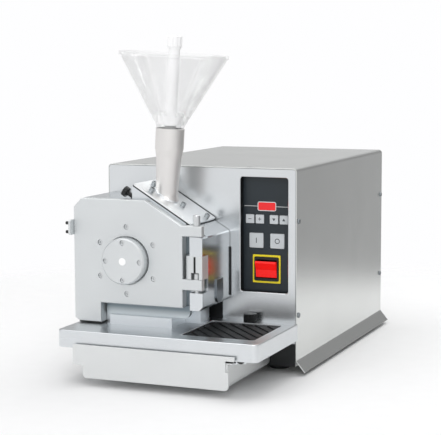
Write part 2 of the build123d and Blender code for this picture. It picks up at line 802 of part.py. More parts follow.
# Cutting chamber
slope_tan = tan(radians(slope_deg))
slope_cos = cos(radians(slope_deg))
slope_sin = sin(radians(slope_deg))
body_face = body_front + slide_gap
slope_top_x = slope_x - (body_top - slope_z) / slope_tan
slope_end_z = slope_z - (slope_end_x - slope_x) * slope_tan
wedge_z = slope_z + (slope_x - wedge_left) * slope_tan
ring_right = slope_x
ring_back = body_face + ring_t
ear_pocket = -77.0
ear_pocket_left = notch_x
post_right = body_right
post_chamfer = 5.0
lower_post_top = 121.3
upper_post_bottom = 170.0
upper_post_top = ear1_z - slide_gap
fixed_angles = (110.0, 190.0, -12.0)
fixed_w = 6.0
fixed_outer = 54.0
fixed_inner = knife_tip_r + knife_gap
sieve_from = 205.0
sieve_to = 335.0
sieve_t = 1.6
sieve_outer = bore_r - seat_gap

slope_plane = Plane(
    origin=(slope_x, front_y, slope_z), x_dir=(slope_cos, 0, -slope_sin), z_dir=(slope_sin, 0, slope_cos)
)
tube_dir = (sin(radians(tube_lean)), 0, cos(radians(tube_lean)))
tube_side = (cos(radians(tube_lean)), 0, -sin(radians(tube_lean)))
tube_origin = (tube_x, front_y + feed_y, tube_ref_z)
tube_base = Plane(origin=tube_origin, x_dir=tube_side, z_dir=tube_dir)
tube_section = Plane(origin=tube_origin, x_dir=tube_side, z_dir=(0, -1, 0))
tube_axis = Axis(tube_origin, tube_dir)
flange_screw_at = ((-76.7, -69.0), (-36.0, -45.0), (-5.0, -26.0), (-87.5, -42.0))
knob_origin = (-74.5, front_y - 72.0, 247.5)
knob_plane = Plane(origin=knob_origin, x_dir=(0, 1, 0), z_dir=(-slope_cos, 0, slope_sin))
knob_shank_r = 3.0
knob_shank = 30.0

body_outline = [
    (body_left, body_bottom),
    (body_right - post_chamfer, body_bottom),
    (body_right, body_bottom + post_chamfer),
    (body_right, slope_end_z - 2),
    (slope_end_x, slope_end_z),
    (slope_top_x, body_top),
    (body_left, body_top),
]
with BuildPart() as chamber_body:
    with BuildSketch(facing(body_face)):
        with BuildLine():
            Polyline(*body_outline, close=True)
        make_face()
    extrude(amount=-(body_back - body_face))
    with BuildSketch(facing(wedge_front)):
        with BuildLine():
            Polyline(
                (wedge_left, body_top - 1),
                (wedge_left, wedge_z),
                (slope_top_x + 1 / slope_tan, body_top - 1),
                close=True,
            )
        make_face()
    extrude(amount=-(wedge_back - wedge_front))
    with BuildSketch(facing(body_face)):
        with Locations(((ring_left + ring_right) / 2, (ring_top + body_bottom - 10) / 2)):
            Rectangle(ring_right - ring_left, ring_top - body_bottom + 10)
    extrude(amount=-ring_t, mode=Mode.SUBTRACT)
    with BuildSketch(facing(body_face)):
        with Locations(((ear_pocket_left + body_right + 10) / 2, body_top - 70)):
            Rectangle(body_right + 10 - ear_pocket_left, 160)
    extrude(amount=-(ear_pocket - body_face), mode=Mode.SUBTRACT)
    with BuildSketch(facing(post_front)):
        with Locations(((post_left + post_right) / 2, (upper_post_bottom + upper_post_top) / 2)):
            Rectangle(post_right - post_left, upper_post_top - upper_post_bottom)
        with Locations(((post_left + post_right) / 2, (body_bottom + lower_post_top) / 2)):
            Rectangle(post_right - post_left, lower_post_top - body_bottom)
        chamfer(vertices().group_by(Axis.X)[-1].sort_by(Axis.Y)[0], length=post_chamfer)
        chamfer(vertices().group_by(Axis.X)[-1].sort_by(Axis.Y)[-1], length=2.5)
    extrude(amount=-(ear_pocket - post_front + 2))
    with BuildSketch(facing(body_face)):
        with Locations((bore_x, bore_z)):
            Circle(bore_r)
    extrude(amount=-(bore_back - body_face), mode=Mode.SUBTRACT)
    with BuildSketch(facing(0)):
        with Locations((bore_x, bore_z)):
            Circle(shaft_r + slide_gap)
    extrude(amount=30, mode=Mode.SUBTRACT)
    with BuildSketch(level(body_bottom)):
        with Locations(((throat_left + throat_right) / 2, (throat_front + throat_back) / 2)):
            Rectangle(throat_right - throat_left, throat_back - throat_front)
    extrude(amount=bore_z - body_bottom, mode=Mode.SUBTRACT)
    for angle in fixed_angles:
        with BuildSketch(facing(ring_back)):
            with Locations((bore_x, bore_z)):
                with PolarLocations((fixed_inner + fixed_outer) / 2, 1, start_angle=angle):
                    Rectangle(fixed_outer - fixed_inner, fixed_w)
        extrude(amount=-(bore_back - ring_back), mode=Mode.SUBTRACT)
    with BuildSketch(tube_base):
        Circle(feed_r)
    extrude(amount=-(tube_ref_z - bore_z) / tube_dir[2], mode=Mode.SUBTRACT)
    with BuildSketch(slope_plane):
        with Locations(*flange_screw_at):
            Circle(screw_m4 / 2)
    extrude(amount=-10, mode=Mode.SUBTRACT)
    with BuildSketch(knob_plane):
        Circle(knob_shank_r + run_fit)
    extrude(amount=-knob_shank - seat_gap, mode=Mode.SUBTRACT)
    with BuildSketch(level(upper_post_top)):
        with Locations((hinge_x, hinge_y)):
            Circle(pin_r)
    extrude(amount=-pin_depth, mode=Mode.SUBTRACT)
    with BuildSketch(level(lower_post_top)):
        with Locations((hinge_x, hinge_y)):
            Circle(pin_r)
    extrude(amount=-pin_depth, mode=Mode.SUBTRACT)
chamber_body.part.label = "chamber_body"
export_step(chamber_body.part, "parts/chamber_body.step")

ring_step_z = 101.0
ring_low_left = -102.0
ring_low_right = 20.5
ring_low_z = 84.5
with BuildPart() as chamber_ring:
    with BuildSketch(facing(body_face)):
        with Locations(((ring_left + ear_pocket_left) / 2, (ring_step_z + ring_top) / 2)):
            Rectangle(ear_pocket_left - ring_left, ring_top - ring_step_z)
        with Locations(((ring_low_left + ring_low_right) / 2, (ring_low_z + ring_step_z) / 2)):
            Rectangle(ring_low_right - ring_low_left, ring_step_z - ring_low_z)
        fillet(vertices().group_by(Axis.Y)[0].sort_by(Axis.X)[-1], radius=8)
        with Locations((bore_x, bore_z)):
            Circle(bore_r, mode=Mode.SUBTRACT)
    extrude(amount=-ring_t)
chamber_ring.part.label = "chamber_ring"
export_step(chamber_ring.part, "parts/chamber_ring.step")

seal_inset = 1.0
tongue_x = body_right - 3.0
tongue_z = body_bottom + 40.2
tongue_w = 13.0
tongue_h = 66.8
apron_x = 23.0
apron_w = 20.0
with BuildPart() as chamber_seal:
    with BuildSketch(facing(0)):
        with BuildLine():
            Polyline(*body_outline, close=True)
        make_face()
        offset(amount=-seal_inset, kind=Kind.INTERSECTION, mode=Mode.REPLACE)
        with Locations((tongue_x, tongue_z)):
            RectangleRounded(tongue_w, tongue_h, 3)
        with Locations((apron_x, (deck_z + body_bottom + 2 * seal_inset) / 2)):
            Rectangle(apron_w, body_bottom - deck_z + 2 * seal_inset)
        with Locations((bore_x, bore_z)):
            Circle(nose_r + seat_gap, mode=Mode.SUBTRACT)
    extrude(amount=seal_t)
chamber_seal.part.label = "chamber_seal"
export_step(chamber_seal.part, "parts/chamber_seal.step")

base_front = -92.0
base_back = -18.0
base_left = -93.0
base_right = -2.0
chute_wall = 3.0
chute_front = throat_front - chute_wall
base_step = ring_low_z
base_wing_front = -48.0
lock_pin_x = base_right - 5.5
lock_pin_z = deck_z + 8.6
lock_pin_r = 2.6
lock_pin_t = 1.2
with BuildPart() as outlet_base:
    with BuildSketch(level(deck_z)):
        with Locations(((base_left + base_right) / 2, (base_front + base_back) / 2)):
            Rectangle(base_right - base_left, base_back - base_front)
        with Locations(((chute_left + base_right) / 2, (chute_front + base_back) / 2)):
            Rectangle(base_right - chute_left, base_back - chute_front)
    extrude(amount=base_step - deck_z)
    with BuildSketch(level(deck_z)):
        with Locations(((base_right + ring_low_right) / 2, (base_wing_front + base_back) / 2)):
            Rectangle(ring_low_right - base_right, base_back - base_wing_front)
    extrude(amount=chute_top - deck_z)
    with BuildSketch(level(base_step)):
        with Locations(((ring_low_left + base_right) / 2, (ring_back + base_back) / 2)):
            Rectangle(base_right - ring_low_left, base_back - ring_back)
    extrude(amount=chute_top - base_step)
    with BuildSketch(level(deck_z)):
        with Locations(((throat_left + throat_right) / 2, (ring_back + throat_back) / 2)):
            Rectangle(throat_right - throat_left, throat_back - ring_back)
    extrude(amount=chute_top - deck_z, mode=Mode.SUBTRACT)
    with BuildSketch(facing(base_front)):
        with Locations((lock_pin_x, lock_pin_z)):
            Circle(lock_pin_r)
    extrude(amount=lock_pin_t)
outlet_base.part.label = "outlet_base"
export_step(outlet_base.part, "parts/outlet_base.step")

tab_y = -40.3
tab_z = body_bottom + 19.7
tab_w = 23.4
tab_h = 32.2
tab_t = 2.0
tab_corner_r = 9.0
with BuildPart() as side_tab:
    with BuildSketch(Plane.YZ.offset(body_right)):
        with Locations((front_y + tab_y, tab_z)):
            Rectangle(tab_w, tab_h)
        fillet(vertices().group_by(Axis.Y)[0], radius=tab_corner_r)
    extrude(amount=tab_t)
    chamfer(side_tab.faces().sort_by(Axis.X)[-1].edges(), length=0.5)
side_tab.part.label = "side_tab"
export_step(side_tab.part, "parts/side_tab.step")

pivot_left = 18.0
pivot_right = 43.8
pivot_bottom = ear2_top + slide_gap
pivot_slot_w = 3.0
pivot_slot_h = 21.4
pivot_slot_depth = 5.0
pocket_w = 2 * pin_head_r + 1.8
pocket_h = pin_head_h / 2 + 1.7
pocket_depth = 12.0
with BuildPart() as pivot_block:
    with BuildSketch(level(pivot_bottom)):
        with Locations(((pivot_left + pivot_right) / 2, (post_front + ear_pocket) / 2)):
            Rectangle(pivot_right - pivot_left, ear_pocket - post_front)
        fillet(vertices().group_by(Axis.X)[0].sort_by(Axis.Y)[0], radius=8)
    extrude(amount=upper_post_bottom - pivot_bottom)
    with BuildSketch(facing(post_front)):
        with Locations((hinge_x - 0.5, upper_post_bottom - pivot_slot_h / 2 - 0.9)):
            Rectangle(pivot_slot_w, pivot_slot_h)
    extrude(amount=-pivot_slot_depth, mode=Mode.SUBTRACT)
    with BuildSketch(facing(post_front)):
        with Locations((hinge_x, pivot_bottom + pocket_h / 2)):
            Rectangle(pocket_w, pocket_h)
    extrude(amount=-pocket_depth, mode=Mode.SUBTRACT)
pivot_block.part.label = "pivot_block"
export_step(pivot_block.part, "parts/pivot_block.step")

pin_round = 2.5
with BuildPart() as hinge_pins:
    with BuildSketch(level(upper_post_top - pin_depth)):
        with Locations((hinge_x, hinge_y)):
            Circle(pin_r)
    extrude(amount=ear1_top + slide_gap - upper_post_top + pin_depth)
    with BuildSketch(level(ear1_top + slide_gap)):
        with Locations((hinge_x, hinge_y)):
            Circle(pin_head_r)
    extrude(amount=pin_head_h)
    fillet(hinge_pins.faces().sort_by(Axis.Z)[-1].edges(), radius=pin_round)
    with BuildSketch(level(lower_post_top - pin_depth)):
        with Locations((hinge_x, hinge_y)):
            Circle(pin_r)
    extrude(amount=pivot_bottom - lower_post_top + pin_depth)
    with BuildSketch(level(pivot_bottom)):
        with Locations((hinge_x, hinge_y)):
            Circle(pin_head_r - 0.5)
    extrude(amount=pin_head_h / 2)
hinge_pins.part.label = "hinge_pins"
export_step(hinge_pins.part, "parts/hinge_pins.step")

with BuildPart() as fixed_knives:
    for angle in fixed_angles:
        with BuildSketch(facing(ring_back)):
            with Locations((bore_x, bore_z)):
                with PolarLocations((fixed_inner + fixed_outer) / 2, 1, start_angle=angle):
                    Rectangle(fixed_outer - fixed_inner, fixed_w)
        extrude(amount=-(bore_back - ring_back))
fixed_knives.part.label = "fixed_knives"
export_step(fixed_knives.part, "parts/fixed_knives.step")

hole_pitch = 10.0
hole_r = 2.0
with BuildPart() as sieve:
    with BuildSketch(facing(ring_back)):
        with Locations((bore_x, bore_z)):
            Circle(sieve_outer)
            Circle(sieve_outer - sieve_t, mode=Mode.SUBTRACT)
        reach = 2 * bore_r
        wedge_x = reach * cos(radians(sieve_to))
        wedge_low = reach * sin(radians(sieve_to))
        Polygon(
            (bore_x, bore_z),
            (bore_x - wedge_x, bore_z + wedge_low),
            (bore_x - wedge_x, bore_z - reach),
            (bore_x + wedge_x, bore_z - reach),
            (bore_x + wedge_x, bore_z + wedge_low),
            align=None,
            mode=Mode.INTERSECT,
        )
    extrude(amount=-(bore_back - ring_back))
    for angle in range(int(sieve_from) + 5, int(sieve_to), int(hole_pitch)):
        radial = (cos(radians(angle)), 0, sin(radians(angle)))
        middle = (bore_x, front_y + (ring_back + bore_back) / 2, bore_z)
        with BuildSketch(Plane(origin=middle, x_dir=(0, 1, 0), z_dir=radial)):
            with GridLocations(6, 0, 9, 1):
                Circle(hole_r)
        extrude(amount=bore_r + 2, mode=Mode.SUBTRACT)
sieve.part.label = "sieve"
export_step(sieve.part, "parts/sieve.step")

# Door
slope_start_x = slope_top_x - 5.3
ear_slope_x = slope_start_x + (body_top - ear1_top) / slope_tan
plate_bottom = 97.0
leg_back = -65.0
leg_inset = 6.0
ring_gap = 1.8
ring_depth = 5.0
liner_r = 49.0
liner_t = 5.0
door_head_r = 3.6
door_head_t = 2.6
head_sink = 2.2
screw_bite = 3.0
with BuildPart() as door:
    with BuildSketch(facing(door_front)):
        with BuildLine():
            Polyline(
                (door_left + 6, leg_bottom),
                (door_left, leg_bottom + 4),
                (door_left, body_top - 12),
                (door_left + 11.5, body_top),
                (slope_start_x, body_top),
                (ear_slope_x, ear1_top),
                (ear_right, ear1_top),
                (ear_right, ear1_z),
                (notch_x, ear1_z),
                (notch_x, ear2_top),
                (ear_right, ear2_top),
                (ear_right, ear2_z),
                (notch_x, ear2_z),
                (notch_x, door_bottom),
                (leg_right, door_bottom),
                (leg_right, leg_bottom),
                close=True,
            )
        make_face()
    extrude(amount=-door_t)
    chamfer(door.faces().sort_by(Axis.Y)[0].outer_wire().edges(), length=0.8)
    with BuildSketch(facing(door_back)):
        with Locations(((door_left + leg_right + leg_inset) / 2, (leg_bottom + plate_bottom) / 2)):
            Rectangle(leg_right - door_left - leg_inset, plate_bottom - leg_bottom)
    extrude(amount=-(leg_back - door_back))
    ear_corners = door.edges().filter_by(Axis.Z).group_by(Axis.X)[-1].group_by(Axis.Y)[-1]
    fillet(ear_corners, radius=5)
    with BuildSketch(facing(door_front)):
        with Locations((bore_x, bore_z)):
            Circle(boss_r + ring_gap)
            Circle(boss_r, mode=Mode.SUBTRACT)
    extrude(amount=-ring_depth, mode=Mode.SUBTRACT)
    with BuildSketch(facing(door_back)):
        with Locations((bore_x, bore_z)):
            Circle(liner_r)
    extrude(amount=liner_t, mode=Mode.SUBTRACT)
    with BuildSketch(facing(door_front)):
        with Locations((bore_x, bore_z)):
            with PolarLocations(door_screw_pcd / 2, 6, start_angle=90):
                Circle(door_head_r + seat_gap)
    extrude(amount=-door_head_t - head_sink, mode=Mode.SUBTRACT)
    with BuildSketch(facing(door_front)):
        with Locations((bore_x, bore_z)):
            with PolarLocations(door_screw_pcd / 2, 6, start_angle=90):
                Circle(screw_m4 / 2)
            with PolarLocations(boss_screw_pcd / 2, 4):
                Circle(screw_m4 / 2)
    extrude(amount=-door_t, mode=Mode.SUBTRACT)
    with BuildSketch(level(ear2_z)):
        with Locations((hinge_x, hinge_y)):
            Circle(pin_r + run_fit)
    extrude(amount=ear1_top - ear2_z, mode=Mode.SUBTRACT)
door.part.label = "door"
export_step(door.part, "parts/door.step")

nose_recess = 3.5
with BuildPart() as door_liner:
    with BuildSketch(facing(door_back)):
        with Locations((bore_x, bore_z)):
            Circle(liner_r)
    extrude(amount=liner_t)
    with BuildSketch(facing(door_back)):
        with Locations((bore_x, bore_z)):
            Circle(18)
    extrude(amount=nose_recess, taper=20, mode=Mode.SUBTRACT)
    with BuildSketch(facing(door_back - liner_t)):
        with Locations((bore_x, bore_z)):
            with PolarLocations(door_screw_pcd / 2, 6, start_angle=90):
                Circle(screw_m4 / 2)
            with PolarLocations(boss_screw_pcd / 2, 4):
                Circle(screw_m4 / 2)
    extrude(amount=-screw_bite, mode=Mode.SUBTRACT)
door_liner.part.label = "door_liner"
export_step(door_liner.part, "parts/door_liner.step")

boss_head_r = 3.5
boss_face = door_front - boss_t
dot_r = 5.0
dot_proud = 0.4
boss_pocket = 5.4
boss_sink = 2.2
hex_r = 2.1
hex_depth = 1.8
with BuildPart() as door_boss:
    with BuildSketch(facing(door_front)):
        with Locations((bore_x, bore_z)):
            Circle(boss_r)
    extrude(amount=boss_t)
    chamfer(door_boss.faces().sort_by(Axis.Y)[0].edges(), length=1.8)
    with BuildSketch(facing(boss_face)):
        with Locations((bore_x, bore_z)):
            with PolarLocations(boss_screw_pcd / 2, 4):
                Circle(boss_head_r + seat_gap)
            Circle(dot_r)
    extrude(amount=-boss_pocket, mode=Mode.SUBTRACT)
    with BuildSketch(facing(boss_face)):
        with Locations((bore_x, bore_z)):
            with PolarLocations(boss_screw_pcd / 2, 4):
                Circle(screw_m4 / 2)
    extrude(amount=-boss_t, mode=Mode.SUBTRACT)
door_boss.part.label = "door_boss"
export_step(door_boss.part, "parts/door_boss.step")

with BuildPart() as boss_cap:
    with BuildSketch(facing(boss_face + boss_pocket)):
        with Locations((bore_x, bore_z)):
            Circle(dot_r)
    extrude(amount=boss_pocket + dot_proud)
    fillet(boss_cap.faces().sort_by(Axis.Y)[0].edges(), radius=0.4)
boss_cap.part.label = "boss_cap"
export_step(boss_cap.part, "parts/boss_cap.step")

with BuildPart() as door_screws:
    with BuildSketch(facing(door_front + door_head_t + head_sink)):
        with Locations((bore_x, bore_z)):
            with PolarLocations(door_screw_pcd / 2, 6, start_angle=90):
                Circle(door_head_r)
    extrude(amount=door_head_t)
    with BuildSketch(facing(door_front + door_head_t + head_sink)):
        with Locations((bore_x, bore_z)):
            with PolarLocations(door_screw_pcd / 2, 6, start_angle=90):
                Circle(screw_m4 / 2)
    extrude(amount=-(door_t - liner_t - door_head_t - head_sink + screw_bite))
    with BuildSketch(facing(door_front + head_sink)):
        with Locations((bore_x, bore_z)):
            with PolarLocations(door_screw_pcd / 2, 6, start_angle=90):
                RegularPolygon(hex_r, 6)
    extrude(amount=-hex_depth, mode=Mode.SUBTRACT)
    with BuildSketch(facing(boss_face + boss_pocket)):
        with Locations((bore_x, bore_z)):
            with PolarLocations(boss_screw_pcd / 2, 4):
                Circle(boss_head_r)
    extrude(amount=boss_pocket - boss_sink)
    with BuildSketch(facing(boss_face + boss_pocket)):
        with Locations((bore_x, bore_z)):
            with PolarLocations(boss_screw_pcd / 2, 4):
                Circle(screw_m4 / 2)
    extrude(amount=-(boss_t - boss_pocket + door_t - liner_t + screw_bite))
    with BuildSketch(facing(boss_face + boss_sink)):
        with Locations((bore_x, bore_z)):
            with PolarLocations(boss_screw_pcd / 2, 4):
                RegularPolygon(hex_r, 6)
    extrude(amount=-hex_depth, mode=Mode.SUBTRACT)
door_screws.part.label = "door_screws"
export_step(door_screws.part, "parts/door_screws.step")

glide_edge = 1.0
with BuildPart() as door_glide:
    with BuildSketch(facing(door_front + glide_edge)):
        with Locations(((door_left + leg_inset + leg_right) / 2, (deck_z + 2 * slide_gap + leg_bottom) / 2)):
            Rectangle(leg_right - door_left - leg_inset - glide_edge, leg_bottom - deck_z - 2 * slide_gap)
    extrude(amount=-(leg_back - door_front - 2 * glide_edge))
door_glide.part.label = "door_glide"
export_step(door_glide.part, "parts/door_glide.step")

latch_z = body_top - 39.4
latch_y = -94.5
latch_w = 23.0
latch_h = 20.0
latch_t = 3.0
latch_r = 3.5
stop_r = 2.6
stop_t = 1.4
latch_pin_y = latch_y - 8.0
latch_pin_dz = 6.0
latch_pin_r = 2.2
latch_pin_l = 5.2
with BuildPart() as latch_plate:
    with BuildSketch(Plane.YZ.offset(door_left)):
        with Locations((front_y + latch_y, latch_z)):
            RectangleRounded(latch_w, latch_h, latch_r)
    extrude(amount=-latch_t)
    with BuildSketch(Plane.YZ.offset(door_left - latch_t)):
        with Locations((front_y + latch_y - 1, latch_z + 1)):
            Circle(stop_r)
    extrude(amount=-stop_t)
latch_plate.part.label = "latch_plate"
export_step(latch_plate.part, "parts/latch_plate.step")

with BuildPart() as latch_pins:
    with BuildSketch(Plane.YZ.offset(door_left - latch_t)):
        with Locations(
            (front_y + latch_pin_y, latch_z - latch_pin_dz), (front_y + latch_pin_y, latch_z + latch_pin_dz)
        ):
            Circle(latch_pin_r)
    extrude(amount=-latch_pin_l)
    fillet(latch_pins.edges().filter_by(GeomType.CIRCLE).group_by(Axis.X)[0], radius=0.8)
latch_pins.part.label = "latch_pins"
export_step(latch_pins.part, "parts/latch_pins.step")

# Feed
with BuildPart() as feed_gasket:
    with BuildSketch(slope_plane):
        with Locations((-flange_len / 2, (body_face + wedge_back) / 2)):
            Rectangle(flange_len, wedge_back - body_face)
        with Locations(*flange_screw_at):
            Circle(screw_m4 / 2, mode=Mode.SUBTRACT)
    extrude(amount=gasket_t)
    with BuildSketch(tube_base):
        Circle(feed_r)
    extrude(amount=-150, mode=Mode.SUBTRACT)
feed_gasket.part.label = "feed_gasket"
export_step(feed_gasket.part, "parts/feed_gasket.step")

collar_h = collar_top - tube_ref_z
collar_l = 28.5
shoulder_r = 17.0
shoulder_at = 40.0
waist_r = 16.2
waist_at = 58.0
foot_tube_r = 14.9
foot_tube_at = 90.0
weld_flare = 8.0
tube_end = 112.0
spigot_r = 16.7
socket_depth = 22.0
with BuildPart() as feed_tube:
    with BuildSketch(tube_section):
        with BuildLine():
            Polyline(
                (0, collar_h),
                (collar_r - 0.6, collar_h),
                (collar_r, collar_h - 0.6),
                (collar_r, -collar_l),
                (shoulder_r, -shoulder_at),
                (waist_r, -waist_at),
                (foot_tube_r, -foot_tube_at),
                (shoulder_r, -foot_tube_at - weld_flare),
                (shoulder_r, -tube_end),
                (0, -tube_end),
                close=True,
            )
        make_face()
    revolve(axis=tube_axis)
    with BuildSketch(slope_plane.offset(gasket_t + flange_t)):
        with Locations((-flange_len / 2, feed_y)):
            Rectangle(2 * flange_len, 120)
    extrude(amount=-60, mode=Mode.SUBTRACT)
    with BuildSketch(slope_plane.offset(gasket_t)):
        with Locations((-flange_len / 2, (body_face + wedge_back) / 2)):
            RectangleRounded(flange_len, wedge_back - body_face, 2)
        with Locations(*flange_screw_at):
            Circle(screw_m4 / 2, mode=Mode.SUBTRACT)
    extrude(amount=flange_t)
    with BuildSketch(tube_base.offset(collar_h)):
        Circle(feed_r)
    extrude(amount=-150, mode=Mode.SUBTRACT)
    with BuildSketch(tube_base.offset(collar_h)):
        Circle(spigot_r + slide_gap)
    extrude(amount=-socket_depth, mode=Mode.SUBTRACT)
feed_tube.part.label = "feed_tube"
export_step(feed_tube.part, "parts/feed_tube.step")

socket_head_r = 3.5
socket_head_t = 5.5
flange_screw_l = 8.0
with BuildPart() as flange_screws:
    with BuildSketch(slope_plane.offset(gasket_t + flange_t)):
        with Locations(*flange_screw_at):
            Circle(socket_head_r)
    extrude(amount=socket_head_t)
    with BuildSketch(slope_plane.offset(gasket_t + flange_t + socket_head_t)):
        with Locations(*flange_screw_at):
            RegularPolygon(hex_r, 6)
    extrude(amount=-hex_depth, mode=Mode.SUBTRACT)
    with BuildSketch(slope_plane.offset(gasket_t + flange_t)):
        with Locations(*flange_screw_at):
            Circle(screw_m4 / 2)
    extrude(amount=-gasket_t - flange_t - flange_screw_l)
flange_screws.part.label = "flange_screws"
export_step(flange_screws.part, "parts/flange_screws.step")

thumb_r = 7.0
thumb_l = 6.0
thumb_neck_r = 4.5
thumb_neck_l = 1.5
with BuildPart() as thumb_knob:
    with BuildSketch(knob_plane):
        Circle(thumb_r)
        with PolarLocations(thumb_r + flute_r / 2, 12):
            Circle(flute_r, mode=Mode.SUBTRACT)
    extrude(amount=thumb_l)
    with BuildSketch(knob_plane):
        Circle(thumb_neck_r)
    extrude(amount=-thumb_neck_l)
    with BuildSketch(knob_plane):
        Circle(knob_shank_r)
    extrude(amount=-knob_shank)
thumb_knob.part.label = "thumb_knob"
export_step(thumb_knob.part, "parts/thumb_knob.step")

neck_h = neck_z - tube_ref_z
cone_r = crown_r + 0.6
spigot_in = 14.6
with BuildPart() as funnel:
    with BuildSketch(tube_section):
        with BuildLine():
            Polyline(
                (spigot_in, collar_h - socket_depth + 2),
                (spigot_r, collar_h - socket_depth + 2),
                (spigot_r, collar_h),
                (collar_r - 0.6, collar_h),
                (collar_r, neck_h - 1),
                (funnel_r + 2, neck_h + funnel_top - 5.6),
                (funnel_lip_r, neck_h + funnel_top - 4.6),
                (funnel_lip_r, neck_h + funnel_top),
                (funnel_r + 0.3, neck_h + funnel_top),
                (funnel_r, neck_h + funnel_top - 5),
                (cone_r, neck_h),
                (spigot_in, neck_h),
                close=True,
            )
        make_face()
    revolve(axis=tube_axis)
funnel.part.label = "funnel"
export_step(funnel.part, "parts/funnel.step")

pusher_tip = -137.0
pusher_head = 107.2
pusher_top = 121.3
head_r = 10.0
crown_h = 16.5
with BuildPart() as pusher:
    with BuildSketch(tube_section):
        with BuildLine():
            Polyline(
                (0, pusher_tip),
                (pusher_r - 1.5, pusher_tip),
                (pusher_r, pusher_tip + 2),
                (pusher_r, neck_h),
                (crown_r, neck_h),
                (crown_r, neck_h + crown_h),
                (crown_r - 3, neck_h + crown_h),
                (crown_r - 3, neck_h + crown_h - 6),
                (pusher_r, neck_h + crown_h - 6),
                (pusher_r, pusher_head - 4),
                (head_r, pusher_head),
                (head_r, pusher_top - 1.5),
                (head_r - 1.5, pusher_top),
                (0, pusher_top),
                close=True,
            )
        make_face()
    revolve(axis=tube_axis)
    with BuildSketch(tube_base.offset(neck_h + crown_h)):
        with PolarLocations(crown_r, 8):
            Rectangle(10, 5)
    extrude(amount=-4.5, mode=Mode.SUBTRACT)
    with BuildSketch(tube_base.offset(pusher_top)):
        with PolarLocations(head_r + 1.0, 10):
            Circle(2.0)
    extrude(amount=-(pusher_top - pusher_head), mode=Mode.SUBTRACT)
pusher.part.label = "pusher"
export_step(pusher.part, "parts/pusher.step")

# Drive
nut_t = 3.4
nut_r = 11.0
nose_back = sheet
bearing_flange_r = 45.0
bearing_flange_t = 10.0
bearing_tube_r = 28.0
bearing_end = 55.0
bearing_seat = (12.0, 42.0)
coupling_from = 58.0
coupling_to = 92.0
shaft_split = (coupling_from + coupling_to) / 2
coupling_r = 22.0
groove_w = 3.0
groove_depth = 2.0
seat_r = bearing_r
with BuildPart() as bearing_housing:
    with BuildSketch(facing(0)):
        with Locations((bore_x, bore_z)):
            Circle(nose_r)
    extrude(amount=seal_t)
    with BuildSketch(facing(0)):
        with Locations((bore_x, bore_z)):
            Circle(nose_r)
    extrude(amount=-nose_back)
    with BuildSketch(facing(nose_back)):
        with Locations((bore_x, bore_z)):
            Circle(bearing_flange_r)
    extrude(amount=-bearing_flange_t)
    with BuildSketch(facing(nose_back)):
        with Locations((bore_x, bore_z)):
            Circle(bearing_tube_r)
    extrude(amount=-(bearing_end - nose_back))
    with BuildSketch(facing(bearing_seat[0])):
        with Locations((bore_x, bore_z)):
            Circle(seat_r)
    extrude(amount=-(bearing_end - bearing_seat[0]), mode=Mode.SUBTRACT)
    with BuildSketch(facing(-seal_t)):
        with Locations((bore_x, bore_z)):
            Circle(shaft_r + slide_gap)
    extrude(amount=-bearing_seat[0] - seal_t, mode=Mode.SUBTRACT)
bearing_housing.part.label = "bearing_housing"
export_step(bearing_housing.part, "parts/bearing_housing.step")

with BuildPart() as bearings:
    for depth in bearing_seat:
        with BuildSketch(facing(depth)):
            with Locations((bore_x, bore_z)):
                Circle(seat_r)
                Circle(shaft_r + run_fit, mode=Mode.SUBTRACT)
        extrude(amount=-bearing_w)
bearings.part.label = "bearings"
export_step(bearings.part, "parts/bearings.step")

with BuildPart() as main_shaft:
    with BuildSketch(facing(rotor_front)):
        with Locations((bore_x, bore_z)):
            Circle(shaft_r)
    extrude(amount=-(shaft_split - rotor_front))
    with BuildSketch(facing(rotor_front)):
        with Locations((bore_x, bore_z)):
            RegularPolygon(nut_r, 6)
    extrude(amount=nut_t)
main_shaft.part.label = "main_shaft"
export_step(main_shaft.part, "parts/main_shaft.step")

seat_inner = 22.0
knife_t = 5.0
gullet = 12.0
with BuildPart() as rotor:
    with BuildSketch(facing(rotor_front)):
        with Locations((bore_x, bore_z)):
            Circle(rotor_r)
            Circle(shaft_r, mode=Mode.SUBTRACT)
            with PolarLocations((seat_inner + bore_r) / 2, 3, start_angle=30):
                with Locations((0, (gullet - knife_t) / 2)):
                    Rectangle(bore_r - seat_inner, gullet + knife_t, mode=Mode.SUBTRACT)
    extrude(amount=-rotor_len)
rotor.part.label = "rotor"
export_step(rotor.part, "parts/rotor.step")

with BuildPart() as rotor_knives:
    with BuildSketch(facing(rotor_front)):
        with Locations((bore_x, bore_z)):
            with PolarLocations((seat_inner + knife_tip_r) / 2, 3, start_angle=30):
                with Locations((0, -knife_t / 2)):
                    Rectangle(knife_tip_r - seat_inner - 1, knife_t)
    extrude(amount=-rotor_len)
rotor_knives.part.label = "rotor_knives"
export_step(rotor_knives.part, "parts/rotor_knives.step")

with BuildPart() as coupling:
    with BuildSketch(facing(coupling_from)):
        with Locations((bore_x, bore_z)):
            Circle(coupling_r)
            Circle(shaft_r, mode=Mode.SUBTRACT)
    extrude(amount=-(coupling_to - coupling_from))
    with BuildSketch(facing(shaft_split - groove_w / 2)):
        with Locations((bore_x, bore_z)):
            Circle(coupling_r + 1)
            Circle(coupling_r - groove_depth, mode=Mode.SUBTRACT)
    extrude(amount=-groove_w, mode=Mode.SUBTRACT)
coupling.part.label = "coupling"
export_step(coupling.part, "parts/coupling.step")

